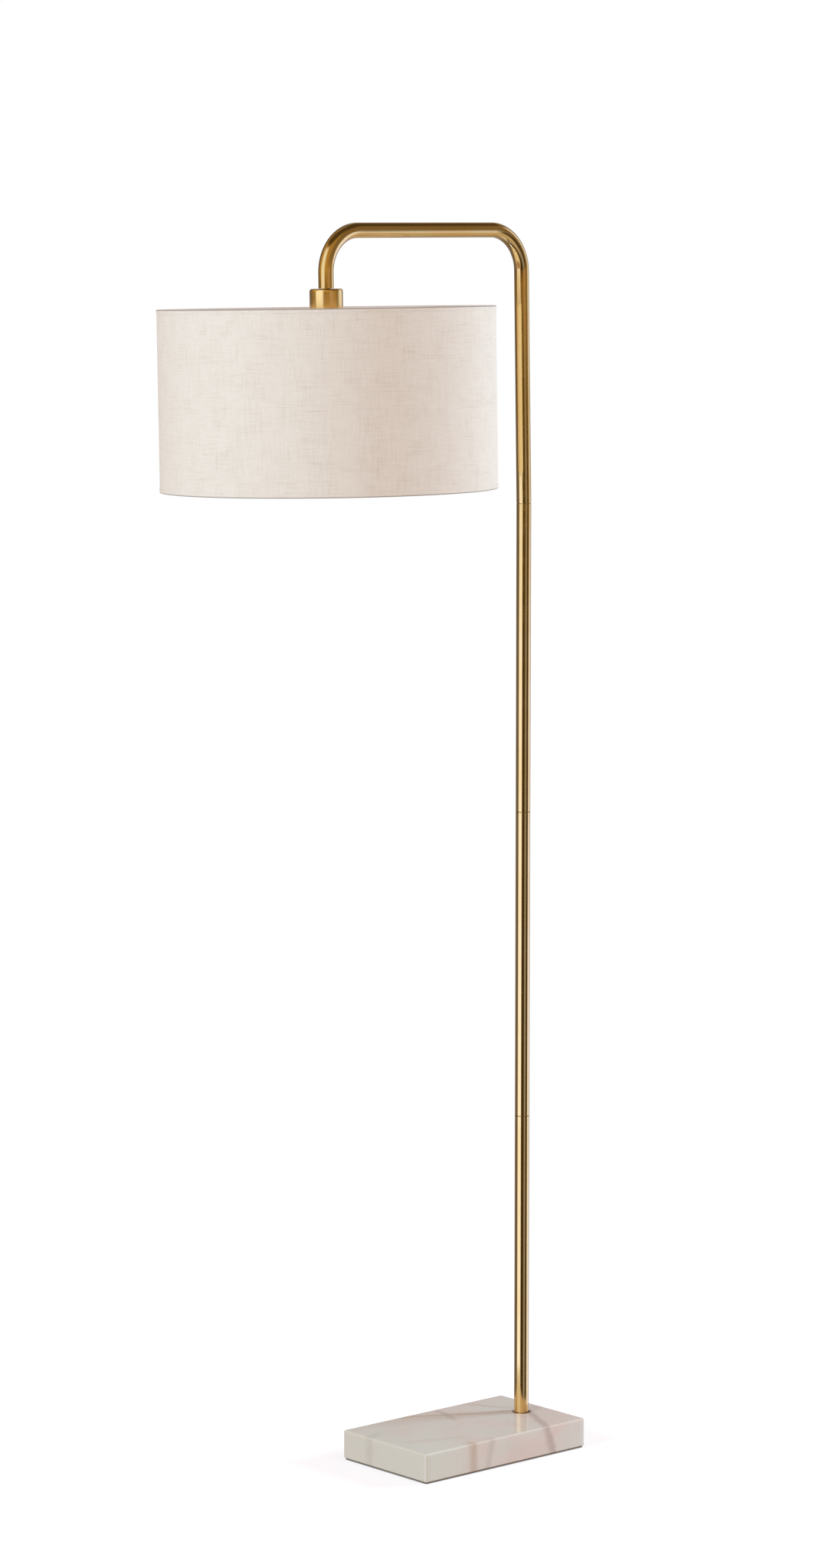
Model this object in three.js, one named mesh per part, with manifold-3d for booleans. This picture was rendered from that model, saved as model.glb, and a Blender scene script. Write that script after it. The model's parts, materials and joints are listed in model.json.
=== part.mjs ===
// Arc floor lamp: a marble slab carries a slim brass pole of three straight tubes and a bent arch tube.
// The arch ends in a brass cup that holds the lampholder, the bulb and a linen drum shade.
// Millimetres, +Z up. The origin is the middle of the underside, on the floor.
// The long side of the slab and the arm of the arch lie along X, and the arm reaches towards -X.
import * as THREE from "three";
import { mergeVertices } from "three/addons/utils/BufferGeometryUtils.js";
import Module from "manifold-3d";

const wasm = await Module();
wasm.setup();

// ---- Driving dimensions ----
const GAP = 0.3; // between touching pieces
const TUBE = { outer: 9.525, inner: 8.325 }; // radii of the 3/4 inch tube
const BASE = { length: 278, width: 163, thickness: 37, edge: 2, corner: 3 };
const PAD = { thickness: 2, inset: 1.5 };
const POLE_X = 100.5; // pole axis, 38.5 from the slab's near end
const RECESS = { radius: 12.3, depth: 6 }; // in the slab's top, round the pole's foot
const SLAB_BORE = 6.5; // radius of the hole for the rod
const POCKET = { radius: 24, depth: 22 }; // in the slab's underside, for the clamping nut
const CHANNEL = { width: 9, depth: 9 }; // from the pocket to the slab's end, for the lead
const SECTION = 401; // pitch of the straight tubes
const HEIGHT = 1598; // top of the arch, measured before it leans
const REACH = 328; // from the pole's axis to the head's axis
const BEND = 52; // centre-line radius of both bends
const LEAN_DEG = 1; // the arch droops towards its head by this angle
const SEAT = { radius: 11.9, thickness: 1.5 };
const THREAD = { male: 5, female: 5.5, bore: 3.4 }; // radii of the M10 fittings
const LEAD = { radius: 2.3, lift: 0.9, bend: 10 };
const GROMMET_DEPTH = 12;
const CLAMP = { washer: 2, washerRadius: 20, spring: 2.3, springRadius: 9, split: 2, nut: 6, acrossFlats: 17 };
const INSERT = { foot: 29, socket: 23.5, plug: 17.5, stud: 16, arch: 14.5, shoulder: 0.5 };
const CUP = { top: 1517, height: 50, outer: 20.7, wall: 1.2, corner: 3 };
const CUP_FIXING = { washer: 1.2, washerRadius: 9, nut: 4.5, acrossFlats: 14, nippleTop: 12, nippleFoot: 8 };
const HOLDER = {
  radius: 16.5,
  top: 1493.7,
  bottom: 1440,
  shoulder: 1461,
  flange: 19,
  flangeHeight: 3,
  bore: 14.2,
  floor: 1474,
  floorHeight: 3,
};
const SCREW_SHELL_INNER = 13.5;
const CONTACT = { length: 16, width: 5, thickness: 0.6 };
const RIVET = { shank: 1.5, head: 3, headHeight: 0.9 };
const TERMINAL = { radius: 2.6, height: 3, slotWidth: 1, slotDepth: 0.8, x: 8, y: -4 };
const SWITCH_Z = 1483;
const SHAFT = { radius: 2.5, from: 10, to: 34, clearance: 1.5 };
const KNOB = { radius: 7.5, from: 23.5, to: 36, flutes: 12, fluteDepth: 0.8 };
const SHADE = { radius: 210, top: 1494, bottom: 1269, linen: 0.8, liner: 0.6, trim: 1 };
const HEM = { tape: 0.2, fold: 5, lip: 0.5 };
const WIRE = { radius: 1.6, drop: 3.4 };
const SPOKES = 3;
const HUB = { z: 1459.2, thickness: 1.5, inner: 17.3, outer: 23 };
const SHADE_RING = { outer: 19, rim: 21.5, rimHeight: 2.5, height: 9 };
const BULB = { top: 1472.2, radius: 30, length: 106, cap: 13.1, wall: 1, shoulder: 0.62 };
const BULB_TOP = { contact: 4, contactHeight: 1.5, insulator: 11, height: 5, cap: 20, thickness: 0.5 };

const TUBE_SIDES = 24;
const FINE_SIDES = 28;
const SMALL_SIDES = 16;
const SHADE_SIDES = 48;
const LEAD_SIDES = 8;
const ARCH_BEND_STEPS = 11;
const LEAD_BEND_STEPS = 6;

// ---- Derived places ----
const BASE_TOP = PAD.thickness + BASE.thickness;
const RECESS_FLOOR = BASE_TOP - RECESS.depth;
const CLAMP_TOP = PAD.thickness + POCKET.depth - GAP;
const POLE_FOOT = RECESS_FLOOR + SEAT.thickness + 2 * GAP;
const SEAMS = [1, 2, 3].map((count) => POLE_FOOT + count * SECTION);
const ARCH_SEAM = SEAMS[2];
const ARM_Z = HEIGHT - TUBE.outer;
const UPRIGHT_TOP = ARM_Z - BEND;
const HEAD_X = POLE_X - REACH;
const ARCH_END = CUP.top + GAP;
const CUP_BOTTOM = CUP.top - CUP.height;
const CUP_CEILING = CUP.top - CUP.wall - GAP;
const CUP_NUT_TOP = CUP_CEILING - CUP_FIXING.washer - GAP;
const HOLDER_DECK = HOLDER.floor + HOLDER.floorHeight;
const PLUG = TUBE.inner - GAP; // radius of the fittings fixed inside the tubes
const LEAD_Z = PAD.thickness + LEAD.lift + LEAD.radius; // the lead's height in the slab's channel
const LINEN_OUTER = SHADE.radius - HEM.tape - GAP;
const LINER_OUTER = LINEN_OUTER - SHADE.linen - GAP;
const HOOP_RADIUS = LINER_OUTER - SHADE.liner - GAP - WIRE.radius;

// ---- Finishes ----
const FINISH = {
  brass: { color: 0xb08d57, roughness: 0.34, metalness: 1 },
  steel: { color: 0xa9abad, roughness: 0.4, metalness: 1 },
  nickel: { color: 0xc9c6bf, roughness: 0.25, metalness: 1 },
  marble: { color: 0xd3cabf, roughness: 0.18, metalness: 0 },
  felt: { color: 0x2b2a29, roughness: 0.95, metalness: 0 },
  linen: { color: 0xe6dfd6, roughness: 0.9, metalness: 0 },
  liner: { color: 0xf2efe9, roughness: 0.6, metalness: 0 },
  wire: { color: 0xd9d5cc, roughness: 0.5, metalness: 0.6 },
  phenolic: { color: 0x1d1b1a, roughness: 0.4, metalness: 0 },
  lead: { color: 0x3a2f22, roughness: 0.5, metalness: 0 },
  glass: { color: 0xf4f3ef, roughness: 0.45, metalness: 0 },
};

// ---- Scene graph ----
// lamp holds the slab; pole is centred on the pole's axis. lean turns everything above the top seam.
// arch cancels lean's offset, so its pieces use the lamp's own coordinates; archFoot and head are
// centred on the pole's axis and the head's axis inside it.
const lamp = new THREE.Group();
const pole = groupAt(lamp, POLE_X, 0);
const lean = groupAt(lamp, POLE_X, ARCH_SEAM);
lean.rotation.y = THREE.MathUtils.degToRad(-LEAN_DEG);
const arch = groupAt(lean, -POLE_X, -ARCH_SEAM);
const archFoot = groupAt(arch, POLE_X, 0);
const head = groupAt(arch, HEAD_X, 0);

function groupAt(parent, x, z) {
  const group = new THREE.Group();
  group.position.set(x, 0, z);
  parent.add(group);
  return group;
}

function add(parent, name, geometry, finish) {
  const mesh = new THREE.Mesh(geometry, new THREE.MeshStandardMaterial(FINISH[finish]));
  mesh.name = name;
  parent.add(mesh);
}

// ---- Cutting and joining ----
function toSolid(geometry) {
  const bare = geometry.index ? geometry.toNonIndexed() : geometry.clone();
  bare.deleteAttribute("normal");
  bare.deleteAttribute("uv");
  const merged = mergeVertices(bare, 1e-3);
  return new wasm.Manifold(
    new wasm.Mesh({
      numProp: 3,
      vertProperties: new Float32Array(merged.attributes.position.array),
      triVerts: new Uint32Array(merged.index.array),
    }),
  );
}

function toGeometry(solid) {
  const mesh = solid.getMesh();
  const geometry = new THREE.BufferGeometry();
  geometry.setAttribute("position", new THREE.BufferAttribute(mesh.vertProperties, 3));
  geometry.setIndex(new THREE.BufferAttribute(mesh.triVerts, 1));
  return geometry;
}

function cut(geometry, ...tools) {
  return toGeometry(tools.reduce((solid, tool) => solid.subtract(toSolid(tool)), toSolid(geometry)));
}

function join(geometry, ...others) {
  return toGeometry(others.reduce((solid, other) => solid.add(toSolid(other)), toSolid(geometry)));
}

// ---- Shapes ----
// A solid of revolution about Z. The outline is a list of [radius, z] that runs anticlockwise,
// and it is closed unless it starts and ends on the axis.
function turned(outline, sides = SMALL_SIDES) {
  const points = outline.map(([radius, z]) => new THREE.Vector2(radius, z));
  const onAxis = points[0].x === 0 && points[points.length - 1].x === 0;
  if (!onAxis) points.push(points[0].clone());
  return new THREE.LatheGeometry(points, sides).rotateX(Math.PI / 2);
}

function ring(inner, outer, low, high, sides = SMALL_SIDES) {
  return turned([[inner, low], [outer, low], [outer, high], [inner, high]], sides);
}

function rod(radius, low, high, sides = SMALL_SIDES) {
  return turned([[0, low], [radius, low], [radius, high], [0, high]], sides);
}

// Points of an arc in the outline's plane, from one angle to another.
function arcPoints(x, z, radius, from, to, count) {
  return Array.from({ length: count + 1 }, (_, index) => {
    const angle = from + ((to - from) * index) / count;
    return [x + radius * Math.cos(angle), z + radius * Math.sin(angle)];
  });
}

// A box centred on the XZ plane, between two values of X and two of Z.
function block(fromX, toX, depth, low, high) {
  const box = new THREE.BoxGeometry(toX - fromX, depth, high - low);
  return box.translate((fromX + toX) / 2, 0, (low + high) / 2);
}

function hexNut(acrossFlats, hole, low, high) {
  const corner = acrossFlats / Math.sqrt(3);
  const hexagon = new THREE.Shape(polarOutline(6, () => corner));
  hexagon.holes.push(new THREE.Path().absarc(0, 0, hole, 0, 2 * Math.PI, true));
  return extruded(hexagon, low, high, SMALL_SIDES / 2);
}

function extruded(shape, low, high, curveSegments) {
  const options = { depth: high - low, bevelEnabled: false, curveSegments };
  return new THREE.ExtrudeGeometry(shape, options).translate(0, 0, low);
}

// Points of a closed outline whose radius depends on the angle.
function polarOutline(sides, radiusAt) {
  return Array.from({ length: sides }, (_, index) => {
    const angle = (index * 2 * Math.PI) / sides;
    const radius = radiusAt(angle);
    return new THREE.Vector2(radius * Math.cos(angle), radius * Math.sin(angle));
  });
}

// ---- Bent routes ----
const inPlane = (x, z) => new THREE.Vector3(x, 0, z);

// A route in the XZ plane made of straight legs and round bends. A leg takes one step and a bend takes
// bendSteps, so an extrusion along the route is fine only where it turns.
class BentPath extends THREE.Curve {
  constructor(bendSteps) {
    super();
    this.bendSteps = bendSteps;
    this.pieces = [];
    this.steps = 0;
  }

  addPiece(steps, at, along) {
    this.pieces.push({ start: this.steps, steps, at, along });
    this.steps += steps;
    return this;
  }

  leg(from, to) {
    const along = to.clone().sub(from).normalize();
    return this.addPiece(1, (t) => from.clone().lerp(to, t), () => along.clone());
  }

  // A turn about centre between two angles, measured from +X towards +Z.
  bend(centre, radius, fromAngle, toAngle) {
    const turn = toAngle - fromAngle;
    const spoke = (angle) => inPlane(Math.cos(angle), Math.sin(angle));
    const at = (t) => spoke(fromAngle + t * turn).multiplyScalar(radius).add(centre);
    const along = (t) => spoke(fromAngle + t * turn + (Math.sign(turn) * Math.PI) / 2);
    return this.addPiece(this.bendSteps, at, along);
  }

  locate(u) {
    const place = u * this.steps;
    const piece = this.pieces.findLast((candidate) => candidate.start <= place + 1e-9);
    return [piece, Math.min((place - piece.start) / piece.steps, 1)];
  }

  getPointAt(u) {
    const [piece, t] = this.locate(u);
    return piece.at(t);
  }

  getTangentAt(u) {
    const [piece, t] = this.locate(u);
    return piece.along(t);
  }
}

function sweep(path, outer, inner, sides) {
  const section = new THREE.Shape().absarc(0, 0, outer, 0, 2 * Math.PI, false);
  if (inner) section.holes.push(new THREE.Path().absarc(0, 0, inner, 0, 2 * Math.PI, true));
  const options = { steps: path.steps, extrudePath: path, curveSegments: sides / 2, bevelEnabled: false };
  return new THREE.ExtrudeGeometry(section, options);
}

// ---- Slab ----
function roundedOutline(length, width, corner) {
  const x = length / 2 - corner;
  const y = width / 2 - corner;
  return new THREE.Shape()
    .absarc(x, -y, corner, -Math.PI / 2, 0)
    .absarc(x, y, corner, 0, Math.PI / 2)
    .absarc(-x, y, corner, Math.PI / 2, Math.PI)
    .absarc(-x, -y, corner, Math.PI, 1.5 * Math.PI)
    .closePath();
}

function slabBlank(low, high) {
  const { length, width, edge, corner } = BASE;
  const options = {
    depth: high - low - 2 * edge,
    bevelThickness: edge,
    bevelSize: edge,
    bevelSegments: 3,
    curveSegments: 2,
  };
  const outline = roundedOutline(length - 2 * edge, width - 2 * edge, corner);
  return new THREE.ExtrudeGeometry(outline, options).translate(0, 0, low + edge);
}

function marbleBase() {
  const slab = slabBlank(PAD.thickness + GAP / 2, BASE_TOP);
  const recess = rod(RECESS.radius, RECESS_FLOOR, BASE_TOP + 1, FINE_SIDES);
  const bore = rod(SLAB_BORE, 0, BASE_TOP);
  const pocket = rod(POCKET.radius, 0, PAD.thickness + POCKET.depth, FINE_SIDES);
  const channel = block(0, BASE.length - POLE_X, CHANNEL.width, 0, PAD.thickness + CHANNEL.depth);
  const tools = [recess, bore, pocket, channel].map((tool) => tool.translate(POLE_X, 0, 0));
  return cut(slab, ...tools);
}

function basePad() {
  const outline = roundedOutline(BASE.length - 2 * PAD.inset, BASE.width - 2 * PAD.inset, BASE.corner);
  return extruded(outline, 0, PAD.thickness - GAP / 2, 2);
}

// A plastic bush in the channel's mouth, bored for the lead.
function leadGrommet() {
  const mouth = BASE.length / 2 - 1;
  const low = PAD.thickness + GAP;
  const high = PAD.thickness + CHANNEL.depth - GAP;
  const body = block(mouth - GROMMET_DEPTH, mouth, CHANNEL.width - 2 * GAP, low, high);
  const hole = rod(LEAD.radius + GAP, mouth - GROMMET_DEPTH - 1, mouth + 1);
  return cut(body, hole.rotateY(Math.PI / 2).translate(0, 0, LEAD_Z));
}

function buildBase() {
  add(lamp, "base_pad", basePad(), "felt");
  add(lamp, "marble_base", marbleBase(), "marble");
  add(lamp, "lead_grommet", leadGrommet(), "phenolic");
  const seatFoot = RECESS_FLOOR + GAP;
  add(pole, "pole_seat", ring(THREAD.female, SEAT.radius, seatFoot, seatFoot + SEAT.thickness), "brass");
}

// The washers and the nut hang from the pocket's ceiling on the rod.
function buildClamp() {
  const washerFoot = CLAMP_TOP - CLAMP.washer;
  const springTop = washerFoot - GAP;
  const springFoot = springTop - CLAMP.spring;
  const nutTop = springFoot - GAP;
  const nutFoot = nutTop - CLAMP.nut;
  add(pole, "base_washer", ring(THREAD.female, CLAMP.washerRadius, washerFoot, CLAMP_TOP), "steel");
  add(pole, "spring_washer", springWasher(springFoot, springTop), "steel");
  add(pole, "base_nut", hexNut(CLAMP.acrossFlats, THREAD.female, nutFoot, nutTop), "steel");
  add(pole, "base_rod", ring(THREAD.bore, THREAD.male, nutFoot - 1, POLE_FOOT + INSERT.foot - 3), "steel");
}

// A split ring: the split lets it spring.
function springWasher(low, high) {
  const split = block(0, CLAMP.springRadius + 1, CLAMP.split, low - 1, high + 1);
  return cut(ring(THREAD.female, CLAMP.springRadius, low, high), split);
}

// ---- Pole ----
// Fixed inside the upper tube's foot: a hollow plug whose thread reaches down into the socket below.
function poleStud(seam) {
  const shoulder = seam + INSERT.shoulder;
  const low = seam - INSERT.stud;
  const high = shoulder + INSERT.plug;
  return turned([
    [THREAD.bore, low],
    [THREAD.male, low],
    [THREAD.male, shoulder],
    [PLUG, shoulder],
    [PLUG, high],
    [THREAD.bore, high],
  ]);
}

function poleSocket(seam) {
  const high = seam - INSERT.shoulder;
  return ring(THREAD.female, PLUG, high - INSERT.socket, high);
}

function buildPole() {
  add(pole, "foot_insert", ring(THREAD.female, PLUG, POLE_FOOT + 1, POLE_FOOT + INSERT.foot), "brass");
  ["lower_pole", "middle_pole", "upper_pole"].forEach((name, index) => {
    const low = index ? SEAMS[index - 1] + GAP / 2 : POLE_FOOT;
    const tube = ring(TUBE.inner, TUBE.outer, low, SEAMS[index] - GAP / 2, TUBE_SIDES);
    add(pole, name, tube, "brass");
    add(pole, "pole_socket_" + (index + 1), poleSocket(SEAMS[index]), "steel");
    const carrier = SEAMS[index] === ARCH_SEAM ? archFoot : pole;
    add(carrier, "pole_stud_" + (index + 1), poleStud(SEAMS[index]), "steel");
  });
}

// ---- Arch and lead ----
// Up the pole, over the arm and down to the head.
function archRoute(low, headEnd, bendSteps) {
  return new BentPath(bendSteps)
    .leg(inPlane(POLE_X, low), inPlane(POLE_X, UPRIGHT_TOP))
    .bend(inPlane(POLE_X - BEND, UPRIGHT_TOP), BEND, 0, Math.PI / 2)
    .leg(inPlane(POLE_X - BEND, ARM_Z), inPlane(HEAD_X + BEND, ARM_Z))
    .bend(inPlane(HEAD_X + BEND, UPRIGHT_TOP), BEND, Math.PI / 2, Math.PI)
    .leg(inPlane(HEAD_X, UPRIGHT_TOP), inPlane(HEAD_X, headEnd));
}

function buildArch() {
  const route = archRoute(ARCH_SEAM + GAP / 2, ARCH_END, ARCH_BEND_STEPS);
  add(arch, "arch_pole", sweep(route, TUBE.outer, TUBE.inner, TUBE_SIDES), "brass");
  const foot = ARCH_END + INSERT.shoulder;
  add(head, "arch_insert", ring(THREAD.female, PLUG, foot, foot + INSERT.arch), "brass");
}

// The lead comes in through the grommet, turns up through the rod and runs up the straight tubes.
function leadFoot() {
  const turnX = POLE_X + LEAD.bend;
  const turnZ = LEAD_Z + LEAD.bend;
  return new BentPath(LEAD_BEND_STEPS)
    .leg(inPlane(BASE.length / 2 - 1, LEAD_Z), inPlane(turnX, LEAD_Z))
    .bend(inPlane(turnX, turnZ), LEAD.bend, 1.5 * Math.PI, Math.PI)
    .leg(inPlane(POLE_X, turnZ), inPlane(POLE_X, ARCH_SEAM));
}

// Its upper half leans with the arch, and the halves join at the top seam.
function buildLead() {
  lamp.updateMatrixWorld(true);
  const lower = sweep(leadFoot(), LEAD.radius, 0, LEAD_SIDES);
  const upper = sweep(archRoute(ARCH_SEAM - 1, HOLDER_DECK + 15, LEAD_BEND_STEPS), LEAD.radius, 0, LEAD_SIDES);
  add(lamp, "lamp_lead", join(lower, upper.applyMatrix4(arch.matrixWorld)), "lead");
}

// ---- Cup ----
function cupShell() {
  const { top, outer, wall, corner } = CUP;
  const bend = outer - corner;
  const bendZ = top - corner;
  const outside = arcPoints(bend, bendZ, corner, 0, Math.PI / 2, 4);
  const inside = arcPoints(bend, bendZ, corner - wall, Math.PI / 2, 0, 3);
  const shell = turned([
    [THREAD.female, top - wall],
    ...inside,
    [outer - wall, CUP_BOTTOM],
    [outer, CUP_BOTTOM],
    ...outside,
    [THREAD.female, top],
  ], FINE_SIDES);
  return cut(shell, switchHole());
}

// The switch shaft points towards +Y and passes the walls of the holder and the cup.
function alongY(geometry) {
  return geometry.rotateX(-Math.PI / 2).translate(0, 0, SWITCH_Z);
}

function switchHole() {
  return alongY(rod(SHAFT.radius + SHAFT.clearance, SHAFT.from, SHAFT.to));
}

function buildCup() {
  add(head, "socket_cup", cupShell(), "brass");
  const { washer, washerRadius, nut, acrossFlats, nippleTop, nippleFoot } = CUP_FIXING;
  const nipple = ring(THREAD.bore, THREAD.male, HOLDER.top + nippleFoot, ARCH_END + nippleTop);
  add(head, "nipple", nipple, "steel");
  add(head, "cup_washer", ring(THREAD.female, washerRadius, CUP_CEILING - washer, CUP_CEILING), "steel");
  add(head, "cup_nut", hexNut(acrossFlats, THREAD.female, CUP_NUT_TOP - nut, CUP_NUT_TOP), "brass");
}

// ---- Lampholder ----
function holderCap() {
  const top = CUP_NUT_TOP - CUP_FIXING.nut - GAP;
  const low = HOLDER.top;
  const wall = 2;
  return turned([
    [HOLDER.radius - wall, low],
    [HOLDER.radius, low],
    [HOLDER.radius, low + 5],
    [10, top],
    [THREAD.female, top],
    [THREAD.female, low + 6],
    [HOLDER.radius - wall, low + wall],
  ], FINE_SIDES);
}

// Open below for the bulb's cap and above for the wires. The floor between carries the contacts.
function holderBody() {
  const { radius, top, bottom, shoulder, flange, flangeHeight, bore, floor } = HOLDER;
  const body = turned([
    [0, floor],
    [bore, floor],
    [bore, bottom],
    [radius, bottom],
    [radius, shoulder],
    [flange, shoulder],
    [flange, shoulder + flangeHeight],
    [radius, shoulder + flangeHeight],
    [radius, top - GAP],
    [bore, top - GAP],
    [bore, HOLDER_DECK],
    [0, HOLDER_DECK],
  ], FINE_SIDES);
  const rivetHole = rod(RIVET.shank + GAP, floor - 1, HOLDER_DECK + 1);
  return cut(body, rivetHole, switchHole());
}

function contactRivet() {
  const foot = HOLDER.floor - GAP;
  const seat = HOLDER_DECK + GAP;
  const { shank, head: rivetHead, headHeight } = RIVET;
  const top = seat + headHeight;
  return turned([[0, foot], [shank, foot], [shank, seat], [rivetHead, seat], [rivetHead, top], [0, top]]);
}

// A sprung tongue under the holder's floor: the bulb's tip presses on it.
function centreContact() {
  const { length, width, thickness } = CONTACT;
  const top = HOLDER.floor - 2 * GAP;
  return block(-length / 2, length / 2, width, top - thickness, top);
}

function terminalScrew(side) {
  const { radius, height, slotWidth, slotDepth, x, y } = TERMINAL;
  const foot = HOLDER_DECK + GAP;
  const top = foot + height;
  const slot = block(-slotWidth / 2, slotWidth / 2, 2 * radius + 1, top - slotDepth, top + 1);
  return cut(rod(radius, foot, top), slot).translate(side * x, y, 0);
}

function buildHolder() {
  add(head, "holder_cap", holderCap(), "phenolic");
  add(head, "holder_body", holderBody(), "phenolic");
  const shell = ring(SCREW_SHELL_INNER, HOLDER.bore - GAP, HOLDER.bottom + 4, HOLDER.floor - GAP);
  add(head, "screw_shell", shell, "brass");
  add(head, "contact_rivet", contactRivet(), "nickel");
  add(head, "centre_contact", centreContact(), "brass");
  add(head, "terminal_screw_1", terminalScrew(-1), "nickel");
  add(head, "terminal_screw_2", terminalScrew(1), "nickel");
}

// A fluted knob, bored for the shaft.
function switchKnob() {
  const { radius, from, to, flutes, fluteDepth } = KNOB;
  const fluted = (angle) => radius - (fluteDepth * (1 - Math.cos(flutes * angle))) / 2;
  const body = extruded(new THREE.Shape(polarOutline(4 * flutes, fluted)), from, to);
  return alongY(cut(body, rod(SHAFT.radius + GAP, from - 1, SHAFT.to + GAP)));
}

function buildSwitch() {
  add(head, "switch_shaft", alongY(rod(SHAFT.radius, SHAFT.from, SHAFT.to)), "nickel");
  add(head, "switch_knob", switchKnob(), "phenolic");
}

// ---- Shade ----
// Linen over a stiff liner, between two wire hoops, with folded tape round both edges.
function buildDrum() {
  const { top, bottom, linen, liner, trim } = SHADE;
  const low = bottom + trim;
  const high = top - trim;
  add(head, "shade_linen", ring(LINEN_OUTER - linen, LINEN_OUTER, low, high, SHADE_SIDES), "linen");
  add(head, "shade_liner", ring(LINER_OUTER - liner, LINER_OUTER, low, high, SHADE_SIDES), "liner");
  add(head, "top_wire", wireHoop(top - WIRE.drop), "wire");
  add(head, "bottom_wire", wireHoop(bottom + WIRE.drop), "wire");
  add(head, "top_hem", hem(top, -1), "linen");
  add(head, "bottom_hem", hem(bottom, 1), "linen");
}

function wireHoop(z) {
  const section = arcPoints(HOOP_RADIUS, z, WIRE.radius, 0, 2 * Math.PI, 6);
  return turned(section.slice(0, -1), SHADE_SIDES);
}

// An angle section of tape that covers an edge of the drum. inward is the way from the edge into the drum.
function hem(edge, inward) {
  const { radius } = SHADE;
  const inner = HOOP_RADIUS - WIRE.radius;
  const outline = [
    [inner, edge],
    [radius, edge],
    [radius, edge + inward * HEM.fold],
    [radius - HEM.tape, edge + inward * HEM.fold],
    [radius - HEM.tape, edge + inward * HEM.lip],
    [inner, edge + inward * HEM.lip],
  ];
  return turned(inward > 0 ? outline : outline.reverse(), SHADE_SIDES);
}

// A wire from the hub's rim out and up to the top hoop.
function shadeSpoke(index) {
  const from = inPlane(HUB.outer + WIRE.radius + GAP, HUB.z + HUB.thickness / 2);
  const to = inPlane(HOOP_RADIUS - WIRE.radius - 2 * GAP, SHADE.top - WIRE.drop);
  const span = to.clone().sub(from);
  const wire = new THREE.CylinderGeometry(WIRE.radius, WIRE.radius, span.length(), 8);
  const up = new THREE.Vector3(0, 1, 0);
  wire.applyQuaternion(new THREE.Quaternion().setFromUnitVectors(up, span.normalize()));
  const middle = from.clone().lerp(to, 0.5);
  wire.translate(middle.x, middle.y, middle.z);
  return wire.rotateZ((index * 2 * Math.PI) / SPOKES + Math.PI / 6);
}

// The hub hangs between the holder's shoulder and the shade ring, which is screwed up from below.
function buildShadeFitter() {
  const hub = ring(HUB.inner, HUB.outer, HUB.z, HUB.z + HUB.thickness, FINE_SIDES);
  add(head, "shade_hub", hub, "wire");
  for (let index = 0; index < SPOKES; index += 1) {
    add(head, "shade_spoke_" + (index + 1), shadeSpoke(index), "wire");
  }
  add(head, "shade_ring", shadeRing(), "phenolic");
}

function shadeRing() {
  const { outer, rim, rimHeight, height } = SHADE_RING;
  const inner = HOLDER.radius + GAP;
  const high = HUB.z - GAP;
  return turned([
    [inner, high - height],
    [outer, high - height],
    [outer, high - rimHeight],
    [rim, high - rimHeight],
    [rim, high],
    [inner, high],
  ], FINE_SIDES);
}

// ---- Bulb ----
function buildBulb() {
  const { contact, contactHeight, insulator, height } = BULB_TOP;
  const top = BULB.top;
  const insulatorTop = top - contactHeight - GAP;
  const insulatorFoot = top - height;
  add(head, "bulb_contact", rod(contact, top - contactHeight, top), "nickel");
  const cone = [[0, insulatorFoot], [insulator, insulatorFoot], [5, insulatorTop], [0, insulatorTop]];
  add(head, "bulb_insulator", turned(cone), "phenolic");
  add(head, "bulb_cap", bulbCap(insulatorFoot - GAP), "nickel");
  add(head, "bulb_glass", bulbGlass(), "glass");
}

function bulbCap(high) {
  const outer = BULB.cap;
  const inner = outer - BULB_TOP.thickness;
  const foot = high - BULB_TOP.cap;
  return turned([
    [inner, foot],
    [outer, foot],
    [outer, high - 1],
    [BULB_TOP.insulator + 0.5, high],
    [BULB_TOP.insulator, high],
    [inner, high - 1.5],
  ]);
}

// A pear-shaped envelope with its neck inside the cap, open where the cap closes it.
function bulbGlass() {
  const { top, length, radius, cap, wall, shoulder } = BULB;
  const centre = top - length + radius;
  const neckTop = top - BULB_TOP.height - GAP - 2;
  const neckFoot = neckTop - BULB_TOP.cap - 2;
  const neck = cap - BULB_TOP.thickness - GAP - 0.5;
  const bowl = (size) => arcPoints(0, centre, size, -Math.PI / 2, shoulder, 8).slice(1);
  const outside = [...bowl(radius), [neck, neckFoot], [neck, neckTop]];
  const inside = [...bowl(radius - wall), [neck - wall, neckFoot], [neck - wall, neckTop]];
  const outerTip = [0, centre - radius];
  const innerTip = [0, centre - radius + wall];
  return turned([outerTip, ...outside, ...inside.reverse(), innerTip], TUBE_SIDES);
}

buildBase();
buildClamp();
buildPole();
buildArch();
buildLead();
buildCup();
buildHolder();
buildSwitch();
buildDrum();
buildShadeFitter();
buildBulb();

export default lamp;
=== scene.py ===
import json
from math import acos, atan2, cos, pi, radians, sin, tan

import bmesh
import bpy
from mathutils import Matrix, Vector


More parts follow.
